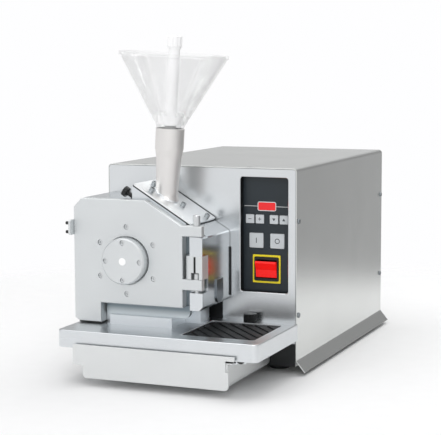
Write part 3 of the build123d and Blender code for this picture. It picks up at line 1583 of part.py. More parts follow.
core_r = motor_r - 24.0
core_from = motor_start + 22
core_len = 110.0
core_gap = 1.0
core_room = 3.0
motor_end = motor_start + motor_len
fan_at = motor_end + 8
fan_w = 14.0
fan_hub_r = 16.0
fan_blade_t = 2.5
fan_r = motor_r - cowl_t - 8.0
with BuildPart() as motor_shaft:
    with BuildSketch(facing(shaft_split + 1)):
        with Locations((bore_x, bore_z)):
            Circle(shaft_r)
    extrude(amount=-(fan_at + fan_w - shaft_split + 1))
    with BuildSketch(facing(core_from)):
        with Locations((bore_x, bore_z)):
            Circle(core_r)
    extrude(amount=-core_len)
motor_shaft.part.label = "motor_shaft"
export_step(motor_shaft.part, "parts/motor_shaft.step")

cowl_len = 30.0
with BuildPart() as motor_body:
    with BuildSketch(facing(motor_start)):
        with Locations((bore_x, bore_z)):
            Circle(motor_r - fin_h)
            with PolarLocations(motor_r - fin_root, 36):
                Rectangle(2 * fin_root - seat_gap, fin_t)
    extrude(amount=-motor_len)
    with BuildSketch(facing(motor_end)):
        with Locations((bore_x, bore_z)):
            Circle(motor_r)
            Circle(motor_r - cowl_t, mode=Mode.SUBTRACT)
    extrude(amount=-cowl_len)
    with BuildSketch(facing(motor_end - cowl_t)):
        with Locations((bore_x, bore_z)):
            Circle(motor_r)
    extrude(amount=-cowl_t)
    with BuildSketch(facing(core_from - core_room)):
        with Locations((bore_x, bore_z)):
            Circle(core_r + core_gap)
    extrude(amount=-core_len - 2 * core_room, mode=Mode.SUBTRACT)
    with BuildSketch(facing(motor_start)):
        with Locations((bore_x, bore_z)):
            Circle(shaft_r + run_fit)
    extrude(amount=-motor_len, mode=Mode.SUBTRACT)
motor_body.part.label = "motor_body"
export_step(motor_body.part, "parts/motor_body.step")

with BuildPart() as fan:
    with BuildSketch(facing(fan_at)):
        with Locations((bore_x, bore_z)):
            Circle(fan_hub_r)
            with PolarLocations((fan_hub_r + fan_r) / 2 - fan_blade_t / 2, 7):
                Rectangle(fan_r - fan_hub_r + fan_blade_t, fan_blade_t)
            Circle(shaft_r, mode=Mode.SUBTRACT)
    extrude(amount=-fan_w)
fan.part.label = "fan"
export_step(fan.part, "parts/fan.step")

bracket_w = 110.0
bracket_top = bore_z - 34.5
bracket_t = 5.0
bracket_span = 110.0
bracket_from = motor_start + 15.0
sole_t = 4.0
hole_w = 60.0
hole_h = 40.0
with BuildPart() as motor_bracket:
    for depth in (bracket_from, bracket_from + bracket_span):
        with BuildSketch(facing(depth)):
            with Locations((bore_x, (pan_top + bracket_top) / 2)):
                Rectangle(bracket_w, bracket_top - pan_top)
            with Locations((bore_x, bore_z)):
                Circle(motor_r, mode=Mode.SUBTRACT)
            with Locations((bore_x, pan_top + hole_h + sole_t / 2)):
                RectangleRounded(hole_w, hole_h, hole_h / 6, mode=Mode.SUBTRACT)
        extrude(amount=-bracket_t)
    with BuildSketch(facing(bracket_from)):
        with Locations((bore_x, pan_top + sole_t / 2)):
            Rectangle(bracket_w, sole_t)
    extrude(amount=-bracket_span - bracket_t)
motor_bracket.part.label = "motor_bracket"
export_step(motor_bracket.part, "parts/motor_bracket.step")
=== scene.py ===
"""Looks of a bench-top cutting mill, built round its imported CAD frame."""

import math

import bmesh
import bpy
from mathutils import Matrix, Vector


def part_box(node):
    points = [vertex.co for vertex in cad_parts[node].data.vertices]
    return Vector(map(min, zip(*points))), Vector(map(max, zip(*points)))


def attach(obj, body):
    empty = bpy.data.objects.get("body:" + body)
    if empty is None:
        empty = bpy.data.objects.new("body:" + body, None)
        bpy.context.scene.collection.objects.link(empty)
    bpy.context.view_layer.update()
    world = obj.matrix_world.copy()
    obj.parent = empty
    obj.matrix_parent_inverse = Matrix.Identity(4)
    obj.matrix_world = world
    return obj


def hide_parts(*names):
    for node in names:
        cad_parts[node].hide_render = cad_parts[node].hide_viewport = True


bl_info = {
    "name": "Cutting mill",
    "version": (1, 0, 0),
    "blender": (4, 5, 0),
    "location": "View3D > Sidebar > Cutting mill",
    "description": "Finishes, trim and studio for a bench-top cutting mill",
    "category": "Object",
}

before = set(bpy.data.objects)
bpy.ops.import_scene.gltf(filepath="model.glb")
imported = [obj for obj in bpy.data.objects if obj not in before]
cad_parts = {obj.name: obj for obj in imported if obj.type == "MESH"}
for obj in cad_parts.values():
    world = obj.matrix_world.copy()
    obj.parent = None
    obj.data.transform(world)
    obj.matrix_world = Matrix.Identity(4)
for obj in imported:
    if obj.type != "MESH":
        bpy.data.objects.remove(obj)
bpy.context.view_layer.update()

MM = 0.001
FORWARD = (0, -1, 0)
UPWARD = (0, 0, 1)

# The chamber's top falls to the right at this angle, and the feed flange lies on it.
SLOPE = math.radians(31.2)
SLOPE_NORMAL = (math.sin(SLOPE), 0, math.cos(SLOPE))
# How far over the middle of its screws the flange still counts as flange.
FLANGE_HEIGHT = 5 * MM

# Corners of a solid closer than the gap are joined, faces that turn less than the flat angle
# are made one, and edges that turn more than the sharp angle are broken.
WELD_GAP = 0.02 * MM
FLAT_ANGLE = math.radians(0.8)
SHARP_ANGLE = math.radians(28)

# Nearly all of a noise lies between these values.
NOISE_RANGE = {"From Min": 0.3, "From Max": 0.7}
# Over this distance the colour of a metal face or of a moulding drifts a little.
METAL_DRIFT_MM = (60, 60, 60)
MOULDED_DRIFT_MM = (25, 25, 25)

# The board of the floor fades out between the two distances, so that no edge shows.
FLOOR_RADIUS = 0.98
FLOOR_FADE = {"From Min": 0.55, "From Max": 0.97, "To Min": 1.0, "To Max": 0.0}
# The room dims to the right (X) and overhead (Z): how much light each direction takes away,
# and which share of that counts from the front to behind the machine (Y).
ROOM_FADES = {
    "X": {"From Min": -0.12, "From Max": 0.42, "To Min": 0.0, "To Max": 0.68},
    "Z": {"From Min": 0.03, "From Max": 0.17, "To Min": 0.0, "To Max": 0.52},
    "Y": {"From Min": -0.40, "From Max": 0.30, "To Min": 0.15, "To Max": 1.0},
}
ROOM_DIMMEST = 0.30
# Square soft boxes: name, place, target, side in metres and power in watts.
SOFT_BOXES = (
    ("front softbox", (0.9, -2.1, 1.5), (0, -0.1, 0.15), 1.2, 11),
    ("top softbox", (-0.5, -0.1, 2.5), (0, 0, 0.2), 2.0, 18),
    ("back softbox", (0.5, 1.3, 2.3), (0, 0, 0.2), 2.0, 26),
)


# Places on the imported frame


def low_of(node):
    """Lower corner of a CAD node's box."""
    return Vector(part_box(node)[0])


def high_of(node):
    """Upper corner of a CAD node's box."""
    return Vector(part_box(node)[1])


def middle(node):
    """Centre of a CAD node's box."""
    return (low_of(node) + high_of(node)) / 2


# Settings


class MillSizes(bpy.types.PropertyGroup):
    """Sizes of the trim that the scene adds."""

    edge: bpy.props.FloatProperty(
        name="Edge break",
        description="Width of the broken edges on metal",
        default=0.7 * MM,
        unit="LENGTH",
    )
    fold: bpy.props.FloatProperty(
        name="Sheet fold",
        description="Width of the rounding along folded sheet",
        default=1.4 * MM,
        unit="LENGTH",
    )
    decal: bpy.props.FloatProperty(
        name="Print height",
        description="How far a printed mark stands off its face",
        default=0.06 * MM,
        unit="LENGTH",
    )
    display_border: bpy.props.FloatProperty(
        name="Display border",
        description="Width of the border round the display",
        default=0.9 * MM,
        unit="LENGTH",
    )
    tongue: bpy.props.FloatProperty(
        name="Seal lip",
        description="How far the seal stands out beside the chamber",
        default=1.8 * MM,
        unit="LENGTH",
    )
    rim: bpy.props.FloatProperty(
        name="Recess rim",
        description="Width of the raised rim left of the mat and behind it",
        default=1.3 * MM,
        unit="LENGTH",
    )


class MillColours(bpy.types.PropertyGroup):
    """Colours as sRGB hex values."""

    sheet: bpy.props.StringProperty(
        name="Sheet steel", description="Hood, base and rear panel", default="#E0E2E0"
    )
    front: bpy.props.StringProperty(
        name="Front panel", description="Front panel sheet", default="#DCDFE1"
    )
    door: bpy.props.StringProperty(
        name="Door", description="Blasted door and boss", default="#DEE1E2"
    )
    polished: bpy.props.StringProperty(
        name="Chamber", description="Polished chamber", default="#DDE1E4"
    )
    foil: bpy.props.StringProperty(name="Foil", description="Control foil", default="#1C272E")
    keys: bpy.props.StringProperty(name="Keys", description="Key caps", default="#D0D5D8")
    rocker: bpy.props.StringProperty(
        name="Rocker", description="Rocker of the main switch", default="#FF1C18"
    )
    switch_frame: bpy.props.StringProperty(
        name="Switch frame", description="Frame round the main switch", default="#FFE81C"
    )


class MillStudio(bpy.types.PropertyGroup):
    """Camera of the photograph."""

    lens: bpy.props.FloatProperty(
        name="Lens", description="Focal length in millimetres", default=113.0, unit="CAMERA"
    )
    azimuth: bpy.props.FloatProperty(
        name="Azimuth",
        description="Turn of the camera to the right",
        default=math.radians(22.458),
        subtype="ANGLE",
    )
    elevation: bpy.props.FloatProperty(
        name="Elevation",
        description="Camera height angle",
        default=math.radians(6.543),
        subtype="ANGLE",
    )
    roll: bpy.props.FloatProperty(
        name="Roll",
        description="Tilt of the picture",
        default=math.radians(-0.189),
        subtype="ANGLE",
    )
    place: bpy.props.FloatVectorProperty(
        name="Camera place",
        description="Where the camera stands",
        default=(0.7456, -1.8584, 0.4254),
        subtype="XYZ",
    )


# Shader helpers


def linear(hex_colour):
    """sRGB hex to the linear colour that a shader reads."""
    channels = [int(hex_colour[i : i + 2], 16) / 255 for i in (1, 3, 5)]
    bent = [c / 12.92 if c <= 0.04045 else ((c + 0.055) / 1.055) ** 2.4 for c in channels]
    return (*bent, 1.0)


def with_shade(hex_colour, share):
    """A hex colour and the same with each channel lowered by a share."""
    channels = [int(hex_colour[i : i + 2], 16) for i in (1, 3, 5)]
    return hex_colour, "#" + "".join(f"{round(c * (1 - share)):02X}" for c in channels)


def set_socket(socket, value):
    """Sets a socket, where a text is a hex colour."""
    socket.default_value = linear(value) if isinstance(value, str) else value


def add_node(tree, kind, inputs, **settings):
    """Adds a node, sets its fields, and sets or links its inputs."""
    node = tree.nodes.new(kind)
    for field, value in settings.items():
        setattr(node, field, value)
    for socket, value in inputs.items():
        if isinstance(value, bpy.types.NodeSocket):
            tree.links.new(value, node.inputs[socket])
        else:
            set_socket(node.inputs[socket], value)
    return node


def new_finish(name, **shader):
    """A material with one Principled shader, whose sockets are set from the keywords."""
    finish = bpy.data.materials.new(name)
    finish.use_nodes = True
    tree = finish.node_tree
    surface = tree.nodes["Principled BSDF"]
    for socket, value in shader.items():
        set_socket(surface.inputs[socket.replace("_", " ")], value)
    return finish, tree, surface


def grain(tree, size_mm, detail=2.0):
    """Noise whose cells measure size_mm along X, Y and Z."""
    place = add_node(tree, "ShaderNodeTexCoord", {}).outputs["Object"]
    scale = tuple(1 / (s * MM) for s in size_mm)
    cells = add_node(tree, "ShaderNodeMapping", {"Vector": place, "Scale": scale})
    noise = {"Vector": cells.outputs["Vector"], "Scale": 1.0, "Detail": detail}
    return add_node(tree, "ShaderNodeTexNoise", noise).outputs["Fac"]


def textured(name, colours, roughness, grain_mm, depth_mm, drift_and_shade, **shader):
    """A finish whose gloss and height follow its grain.

    Its colour runs between two by a factor that drift_and_shade makes in the node tree: a slow
    drift of tone, and on the chamber ring a painted shade.
    """
    finish, tree, surface = new_finish(name, **shader)
    fine = grain(tree, grain_mm)
    mixed = {"Factor": drift_and_shade(tree), "A": colours[0], "B": colours[1]}
    colour = add_node(tree, "ShaderNodeMix", mixed, data_type="RGBA")
    between = {"Value": fine, **NOISE_RANGE, "To Min": roughness[0], "To Max": roughness[1]}
    gloss = add_node(tree, "ShaderNodeMapRange", between)
    relief = {"Height": fine, "Distance": depth_mm * MM, "Strength": 1.0}
    bump = add_node(tree, "ShaderNodeBump", relief)
    tree.links.new(colour.outputs["Result"], surface.inputs["Base Color"])
    tree.links.new(gloss.outputs["Result"], surface.inputs["Roughness"])
    tree.links.new(bump.outputs["Normal"], surface.inputs["Normal"])
    return finish


def slow_drift(size_mm):
    """Drift of a colour over the face, in soft cells of size_mm."""
    return lambda tree: grain(tree, size_mm, 1.0)


# The real grain of ground, blasted and moulded faces is 0.05 to 0.2 mm wide, too fine to show
# at this distance, so it is drawn 0.7 to 1.5 mm wide and very shallow. On ground faces it is
# stretched along the way of grinding.


def metal(name, colours, roughness, grain_mm, depth_mm, drift_and_shade=slow_drift(METAL_DRIFT_MM)):
    """Bare or anodised metal."""
    return textured(name, colours, roughness, grain_mm, depth_mm, drift_and_shade, Metallic=1.0)


def plastic(name, colours, roughness, grain_mm, depth_mm, **shader):
    """Plastic, rubber, paint, ink or board."""
    cells = (grain_mm,) * 3
    drift_and_shade = slow_drift(MOULDED_DRIFT_MM)
    return textured(name, colours, roughness, cells, depth_mm, drift_and_shade, **shader)


def finish_nodes(finish, nodes):
    """Puts a material on every slot of the named CAD nodes."""
    for name in nodes:
        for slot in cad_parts[name].material_slots:
            slot.material = finish


def soften(nodes, width, segments=2, flat=False):
    """Breaks the sharp edges of CAD nodes with modifiers, so that they catch a line of light."""
    for name in nodes:
        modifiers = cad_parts[name].modifiers
        weld = modifiers.new("join faces", "WELD")
        weld.merge_threshold = WELD_GAP
        if flat:
            whole = modifiers.new("whole faces", "DECIMATE")
            whole.decimate_type = "DISSOLVE"
            whole.angle_limit = FLAT_ANGLE
        bevel = modifiers.new("broken edge", "BEVEL")
        bevel.width = width
        bevel.segments = segments
        bevel.limit_method = "ANGLE"
        bevel.angle_limit = SHARP_ANGLE
        shade = modifiers.new("even shading", "WEIGHTED_NORMAL")
        shade.keep_sharp = True


# Mesh helpers


def piece_from(name, mesh, finish, body):
    """Finishes a bmesh as a piece that rides on a body."""
    data = bpy.data.meshes.new(name)
    bmesh.ops.recalc_face_normals(mesh, faces=mesh.faces)
    mesh.to_mesh(data)
    mesh.free()
    piece = bpy.data.objects.new(name, data)
    bpy.context.scene.collection.objects.link(piece)
    data.materials.append(finish)
    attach(piece, body)
    return piece


def slab(mesh, outline, base, normal, thickness, holes=()):
    """Extrudes a closed outline of points along a normal; holes are outlines too."""
    edges = []
    for ring in (outline, *holes):
        points = [mesh.verts.new(Vector(p) + Vector(base)) for p in ring]
        edges += [mesh.edges.new((p, points[(i + 1) % len(points)])) for i, p in enumerate(points)]
    made = bmesh.ops.triangle_fill(
        mesh, use_beauty=True, use_dissolve=True, edges=edges, normal=normal
    )
    faces = [g for g in made["geom"] if isinstance(g, bmesh.types.BMFace)]
    grown = bmesh.ops.extrude_face_region(mesh, geom=faces)
    moved = [g for g in grown["geom"] if isinstance(g, bmesh.types.BMVert)]
    bmesh.ops.translate(mesh, vec=Vector(normal) * thickness, verts=moved)


def upright_slab(mesh, x, y, z, outline, thickness, holes=()):
    """Extrudes a flat outline of (x, z) pairs, set at a place, towards the front."""
    rings = [[(x + px, 0, z + pz) for px, pz in ring] for ring in (outline, *holes)]
    slab(mesh, rings[0], (0, y, 0), FORWARD, thickness, rings[1:])


def rounded(width, height, radius, steps=6):
    """Rounded rectangle as (x, z) pairs, counter-clockwise."""
    across, up = width / 2 - radius, height / 2 - radius
    points = []
    for corner, (sx, sz) in enumerate(((1, 1), (-1, 1), (-1, -1), (1, -1))):
        for i in range(steps + 1):
            a = math.radians(90 * corner + 90 * i / steps)
            points.append((sx * across + radius * math.cos(a), sz * up + radius * math.sin(a)))
    return points


def circle(radius, steps=32):
    """Circle as (x, z) pairs, counter-clockwise."""
    turns = [2 * math.pi * i / steps for i in range(steps)]
    return [(radius * math.cos(a), radius * math.sin(a)) for a in turns]


def bar(width, height):
    """Plain rectangle as (x, z) pairs, counter-clockwise."""
    w, h = width / 2, height / 2
    return [(-w, -h), (w, -h), (w, h), (-w, h)]


def cross(size, width):
    """Plus sign as (x, z) pairs, counter-clockwise."""
    s, w = size / 2, width / 2
    right_half = [(w, -s), (w, -w), (s, -w), (s, w), (w, w), (w, s)]
    return right_half + [(-x, -z) for x, z in right_half]


def arrow(size, up):
    """Triangle that points up (1) or down (-1), as (x, z) pairs, counter-clockwise."""
    foot, tip = -0.7 * size * up, 0.9 * size * up
    return [(-size, foot), (size, foot), (0, tip)][::up]


# Operators


class MILL_OT_cabinet(bpy.types.Operator):
    """Finishes the cabinet: hood, panels, pan and feet."""

    bl_idname = "mill.cabinet"
    bl_label = "Cabinet"

    def execute(self, context):
        colours, sizes = context.scene.mill_colours, context.scene.mill_sizes
        # Stainless sheet, finely ground along its length: a soft, slightly streaked sheen.
        hood = metal(
            "ground stainless sheet, hood",
            with_shade(colours.sheet, 0.04),
            (0.25, 0.27),
            (0.9, 60, 0.9),
            0.00002,
        )
        finish_nodes(hood, ["hood", "base_plate", "rear_panel"])
        # The front is ground upright, so its streaks run up and down.
        front = metal(
            "ground stainless sheet, front",
            with_shade(colours.front, 0.04),
            (0.25, 0.265),
            (0.9, 0.9, 60),
            0.00002,
        )
        finish_nodes(front, ["front_panel"])
        # Satin black on the plate under the deck: dark with a faint sheen from the lamps.
        paint = plastic("satin black, lower front plate", ("#0C0F11", "#14181A"), (0.42, 0.52), 0.8, 0.01)
        finish_nodes(paint, ["lower_front_plate"])
        # Moulded rubber: deep matte black.
        rubber = plastic("moulded rubber", ("#121416", "#1A1D1F"), (0.70, 0.82), 0.7, 0.02)
        finish_nodes(rubber, ["rubber_feet"])
        soften(["hood"], sizes.fold, 3, flat=True)
        soften(["front_panel", "rear_panel"], 1.4 * sizes.edge, flat=True)
        return {"FINISHED"}


class MILL_OT_chamber(bpy.types.Operator):
    """Finishes the cutting chamber, its ring, base and seals."""

    bl_idname = "mill.chamber"
    bl_label = "Chamber"

    def execute(self, context):
        colours, sizes = context.scene.mill_colours, context.scene.mill_sizes
        # Stainless block, polished with fine buffing lines: mirrors the panel beside it.
        polished = metal(
            "polished stainless block",
            with_shade(colours.polished, 0.05),
            (0.22, 0.26),
            (0.8, 30, 0.8),
            0.0003,
        )
        finish_nodes(polished, ["chamber_body"])
        # Hardened steel, ground flat: darker and bluish next to the aluminium.
        hard = metal(
            "ground hardened steel", ("#868C91", "#757B80"), (0.26, 0.36), (14, 0.8, 0.8), 0.003
        )
        finish_nodes(hard, ["rotor", "rotor_knives", "fixed_knives", "door_liner", "side_tab"])
        # Stainless ring, ground flat. Painted shade makes it dark up under the door, and a painted
        # reflection of the deck makes it pale along its lower rim.
        ring = metal(
            "ground stainless ring",
            ("#D6DDE0", "#7A858B"),
            (0.30, 0.36),
            (14, 0.8, 0.8),
            0.0005,
            self.door_shade_gradient,
        )
        finish_nodes(ring, ["chamber_ring"])
        # Stainless, glass-bead blasted to a satin: pale and even.
        satin = metal(
            "satin stainless", ("#E6EAED", "#DCE1E5"), (0.30, 0.36), (0.9, 0.9, 0.9), 0.001
        )
        finish_nodes(satin, ["outlet_base", "sieve"])
        # Rubber cut from calendered sheet: a thin, dull black line round steel parts.
        rubber = plastic("sheet rubber", ("#0A0F12", "#101619"), (0.55, 0.68), 0.8, 0.015)
        finish_nodes(rubber, ["chamber_seal", "feed_gasket"])
        self.trimmed_seal(rubber, sizes.tongue)
        soften(["chamber_body"], sizes.edge / 2)
        soften(["outlet_base"], sizes.edge)
        soften(["chamber_ring"], 4 * sizes.edge, 4)
        return {"FINISHED"}

    @staticmethod
    def door_shade_gradient(tree):
        """Painted shade under the door: 0 at the ring's foot and 1 from 11 mm above it."""
        place = add_node(tree, "ShaderNodeTexCoord", {}).outputs["Object"]
        height = add_node(tree, "ShaderNodeSeparateXYZ", {"Vector": place}).outputs["Z"]
        foot = low_of("chamber_ring").z
        limits = {"Value": height, "From Min": foot, "From Max": foot + 11 * MM}
        return add_node(tree, "ShaderNodeMapRange", limits).outputs["Result"]

    @staticmethod
    def trimmed_seal(rubber, tongue):
        """The seal behind the chamber, its side tongue trimmed to a narrow lip."""
        mesh = bmesh.new()
        mesh.from_mesh(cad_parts["chamber_seal"].data)
        edge = high_of("chamber_body").x + tongue
        for corner in mesh.verts:
            corner.co.x = min(corner.co.x, edge)
        bmesh.ops.dissolve_degenerate(mesh, dist=0.01 * MM, edges=mesh.edges)
        piece = piece_from("trimmed_seal", mesh, rubber, "cabinet")
        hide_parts("chamber_seal")


class MILL_OT_door(bpy.types.Operator):
    """Finishes the swing door, its boss, its screws and the pivot block."""

    bl_idname = "mill.door"
    bl_label = "Door"

    def execute(self, context):
        colours, sizes = context.scene.mill_colours, context.scene.mill_sizes
        # Aluminium, bead blasted and clear anodised: pale, even and almost matte.
        blasted = metal(
            "blasted anodised aluminium",
            with_shade(colours.door, 0.03),
            (0.50, 0.58),
            (0.7, 0.7, 0.7),
            0.008,
        )
        finish_nodes(blasted, ["door", "door_boss", "pivot_block", "latch_plate"])
        # Turned acetal: white, close-grained and faintly waxy.
        white = plastic("turned white acetal", ("#FFFFFF", "#FAFAFA"), (0.32, 0.42), 0.8, 0.003)
        finish_nodes(white, ["boss_cap"])
        # Stainless screws and pins, turned: small and bright.
        bright = metal(
            "turned stainless", ("#DADCDD", "#CBCECF"), (0.26, 0.36), (0.8, 0.8, 0.8), 0.002
        )
        finish_nodes(bright, ["door_screws", "hinge_pins"])
        # The same on the pale flange, a little duller: grey dots.
        head = metal(
            "turned stainless screw heads",
            ("#B2B7BA", "#A3A8AB"),
            (0.30, 0.40),
            (0.8, 0.8, 0.8),
            0.002,
        )
        finish_nodes(head, ["flange_screws"])
        # Zinc-plated screws, brushed: a grey that sits back on the sheet.
        zinc = metal(
            "brushed zinc plate", ("#8E9396", "#7F8487"), (0.40, 0.50), (0.8, 0.8, 0.8), 0.003
        )
        finish_nodes(zinc, ["cover_screws"])
        # Moulded nylon: black, with a dull gleam on its corners.
        glide = plastic("moulded nylon, black", ("#0B0D0E", "#131617"), (0.40, 0.55), 0.8, 0.006)
        finish_nodes(glide, ["door_glide", "latch_pins"])
        soften(["door"], sizes.fold, 3, flat=True)
        soften(["door_boss"], sizes.fold, 3)
        soften(["pivot_block", "latch_plate"], sizes.edge, 3)
        soften(["hinge_pins", "flange_screws", "cover_screws", "door_screws"], sizes.edge / 2)
        self.slot_shade_insert()
        return {"FINISHED"}

    @staticmethod
    def slot_shade_insert():
        """A black insert in the pivot block's slot, just behind the block's face: painted shade
        that darkens the slot.
        """
        # Painted shade: a plain black line down the pale block, standing for the shade inside the
        # slot.
        strip = plastic("black slot insert, painted shade", ("#08090A", "#0C0E0F"), (0.60, 0.75), 0.8, 0.01)
        wide, tall, thick = 2.8 * MM, 21.2 * MM, 1.1 * MM
        left_of_pins, under_top, sunk = 0.5 * MM, 0.9 * MM, 0.2 * MM
        mesh = bmesh.new()
        upright_slab(
            mesh,
            middle("hinge_pins").x - left_of_pins,
            low_of("pivot_block").y + sunk + thick,
            high_of("pivot_block").z - under_top - tall / 2,
            rounded(wide, tall, 1.2 * MM),
            thick,
        )
        piece_from("pivot_slot_shade_insert", mesh, strip, "cabinet")


class MILL_OT_feed(bpy.types.Operator):
    """Finishes the feed tube, its flange, the funnel and the pusher."""

    bl_idname = "mill.feed"
    bl_label = "Feed"

    def execute(self, context):
        sizes = context.scene.mill_sizes
        finish_nodes(self.blasted_tube(), ["feed_tube"])
        finish_nodes(self.clear_funnel(), ["funnel"])
        # Turned acetal: the whitest piece, faintly waxy.
        white = plastic(
            "turned white acetal, pusher", ("#FBFBFB", "#F6F6F6"), (0.30, 0.42), 0.9, 0.004
        )
        finish_nodes(white, ["pusher"])
        soften(["feed_tube", "pusher"], sizes.edge)
        return {"FINISHED"}

    def blasted_tube(self):
        """The finish of the tube and of the flange plate in one with it."""
        # Stainless, bead blasted: warm grey with a soft highlight. The flange plate is ground
        # smoother, so it is cooler and mirrors the room.
        tube, tree, surface = new_finish("blasted stainless tube", Metallic=1.0)
        flange = self.on_flange(tree)
        mixed = {"Factor": flange, "A": "#E4E2E0", "B": "#F4F6F7"}
        colour = add_node(tree, "ShaderNodeMix", mixed, data_type="RGBA")
        between = {"Value": flange, "To Min": 0.48, "To Max": 0.33}
        gloss = add_node(tree, "ShaderNodeMapRange", between)
        fine = grain(tree, (0.9, 0.9, 18))
        relief = {"Height": fine, "Distance": 0.002 * MM, "Strength": 1.0}
        bump = add_node(tree, "ShaderNodeBump", relief)
        tree.links.new(colour.outputs["Result"], surface.inputs["Base Color"])
        tree.links.new(gloss.outputs["Result"], surface.inputs["Roughness"])
        tree.links.new(bump.outputs["Normal"], surface.inputs["Normal"])
        return tube

    @staticmethod
    def on_flange(tree):
        """1 on the flange plate and 0 on the tube above it."""
        place = add_node(tree, "ShaderNodeTexCoord", {}).outputs["Object"]
        ends = {0: place, 1: middle("flange_screws")}
        away = add_node(tree, "ShaderNodeVectorMath", ends, operation="SUBTRACT")
        along = {0: away.outputs["Vector"], 1: SLOPE_NORMAL}
        rise = add_node(tree, "ShaderNodeVectorMath", along, operation="DOT_PRODUCT")
        limit = {0: rise.outputs["Value"], 1: FLANGE_HEIGHT}
        return add_node(tree, "ShaderNodeMath", limit, operation="LESS_THAN").outputs["Value"]

    @staticmethod
    def clear_funnel():
        """The finish of the funnel."""
        # Clear polystyrene, injection moulded: colourless and smooth, with thin grey rims.
        # Most light passes straight on, so that the white pusher inside stays white.
        clear, tree, surface = new_finish(
            "clear moulded polystyrene", Base_Color="#EEEFEF", IOR=1.45, Transmission_Weight=0.75
        )
        flow = grain(tree, (12, 12, 12), 1.0)
        between = {"Value": flow, **NOISE_RANGE, "To Min": 0.02, "To Max": 0.06}
        gloss = add_node(tree, "ShaderNodeMapRange", between)
        tree.links.new(gloss.outputs["Result"], surface.inputs["Roughness"])
        grazing = add_node(tree, "ShaderNodeLayerWeight", {"Blend": 0.12}).outputs["Facing"]
        between = {"Value": grazing, "To Min": 0.17, "To Max": 0.75}
        veil = add_node(tree, "ShaderNodeMapRange", between)
        tree.links.new(veil.outputs["Result"], surface.inputs["Alpha"])
        return clear


class MILL_OT_controls(bpy.types.Operator):
    """Finishes the control recess and adds the printed marks and the display border."""

    bl_idname = "mill.controls"
    bl_label = "Controls"

    def execute(self, context):
        colours, sizes = context.scene.mill_colours, context.scene.mill_sizes
        key_caps = ["key_start", "key_stop", *[f"key_small_{i}" for i in range(1, 5)]]
        # Embossed polyester foil: dark, with a fine pebble that spreads the lamps.
        foil = plastic(
            "embossed polyester foil", with_shade(colours.foil, 0.08), (0.34, 0.46), 0.9, 0.006
        )
        finish_nodes(foil, ["control_foil"])
        # Moulded ABS, black: a deep frame with soft glints.
        tray = plastic("moulded ABS, black", ("#060809", "#0A0D0F"), (0.34, 0.44), 0.8, 0.006)
        finish_nodes(tray, ["control_tray", "switch_housing", "mains_inlet", "fan", "arm_caps"])
        # Moulded ABS, grey: pale keys with a smooth face.
        keys = plastic(
            "moulded ABS, grey", with_shade(colours.keys, 0.04), (0.30, 0.42), 0.9, 0.004
        )
        finish_nodes(keys, key_caps)
        # Tinted acrylic over lit digits: a strong, clean red.
        window = new_finish(
            "tinted acrylic window",
            Base_Color="#C81418",
            Roughness=0.12,
            Emission_Color="#F01A1E",
            Emission_Strength=0.35,
        )[0]
        finish_nodes(window, ["display_window"])
        # Moulded ABS, yellow: a plain warning colour with little gloss.
        yellow = plastic(
            "moulded ABS, yellow",
            with_shade(colours.switch_frame, 0.05),
            (0.30, 0.42),
            0.8,
            0.004,
        )
        finish_nodes(yellow, ["switch_frame"])
        # Red rocker of the main switch: a saturated red, with a faint painted glow that lifts the
        # shade on its tilted upper half.
        red = plastic(
            "moulded nylon, red",
            with_shade(colours.rocker, 0.04),
            (0.22, 0.32),
            0.9,
            0.002,
            Emission_Color=colours.rocker,
            Emission_Strength=0.22,
        )
        finish_nodes(red, ["switch_rocker"])
        # Glass-fibre board, lacquered green: seen only with the cabinet open.
        board = plastic("coated circuit board", ("#1B5A38", "#174C30"), (0.30, 0.45), 1.2, 0.01)
        finish_nodes(board, ["control_board"])
        soften(["switch_rocker"], sizes.fold, 3)
        soften([*key_caps, "switch_frame"], sizes.edge / 2)
        self.display_border(sizes)
        self.key_marks(sizes)
        return {"FINISHED"}

    @staticmethod
    def display_border(sizes):
        """A border printed round the display, with a line from it to each side of the foil."""
        # Screen ink, white: a thin matte line on the dark foil.
        white_ink = plastic("screen ink, white", ("#EDEEEE", "#E2E4E4"), (0.5, 0.6), 0.8, 0.001)
        face = low_of("control_foil").y
        window = middle("display_window")
        display = high_of("display_window") - low_of("display_window")
        gap, line, foil_margin = 0.2 * MM, 0.6 * MM, 1.5 * MM
        reach = gap + sizes.display_border
        inner = rounded(display.x + 2 * gap, display.z + 2 * gap, 1.8 * MM)
        outer = rounded(display.x + 2 * reach, display.z + 2 * reach, 2.6 * MM)
        mesh = bmesh.new()
        upright_slab(mesh, window.x, face, window.z, outer, sizes.decal, [inner])
        start = display.x / 2 + reach
        end = high_of("control_foil").x - window.x - foil_margin
        for side in (-1, 1):
            x = window.x + side * (start + end) / 2
            upright_slab(mesh, x, face, window.z, bar(end - start, line), sizes.decal)
        piece_from("display_border", mesh, white_ink, "cabinet")

    @staticmethod
    def key_marks(sizes):
        """A mark printed on each key: a bar, a ring, minus, plus, down and up."""
        # Screen ink, dark: plain matte strokes on the pale keys.
        dark_ink = plastic("screen ink, dark", ("#3A4044", "#31373B"), (0.5, 0.6), 0.8, 0.001)
        size, stroke = 4.4 * MM, 0.8 * MM
        marks = (
            ("start_mark", "key_start", "start_key", bar(1.1 * MM, 7.0 * MM), []),
            ("stop_mark", "key_stop", "stop_key", circle(3.6 * MM), [circle(2.6 * MM)]),
            ("minus_mark", "key_small_1", "key_1", bar(size, stroke), []),
            ("plus_mark", "key_small_2", "key_2", cross(size, stroke), []),
            ("down_mark", "key_small_3", "key_3", arrow(2.3 * MM, -1), []),
            ("up_mark", "key_small_4", "key_4", arrow(2.3 * MM, 1), []),
        )
        for name, cap, body, outline, holes in marks:
            key = middle(cap)
            mesh = bmesh.new()
            upright_slab(mesh, key.x, low_of(cap).y, key.z, outline, sizes.decal, holes)
            piece_from(name, mesh, dark_ink, body)


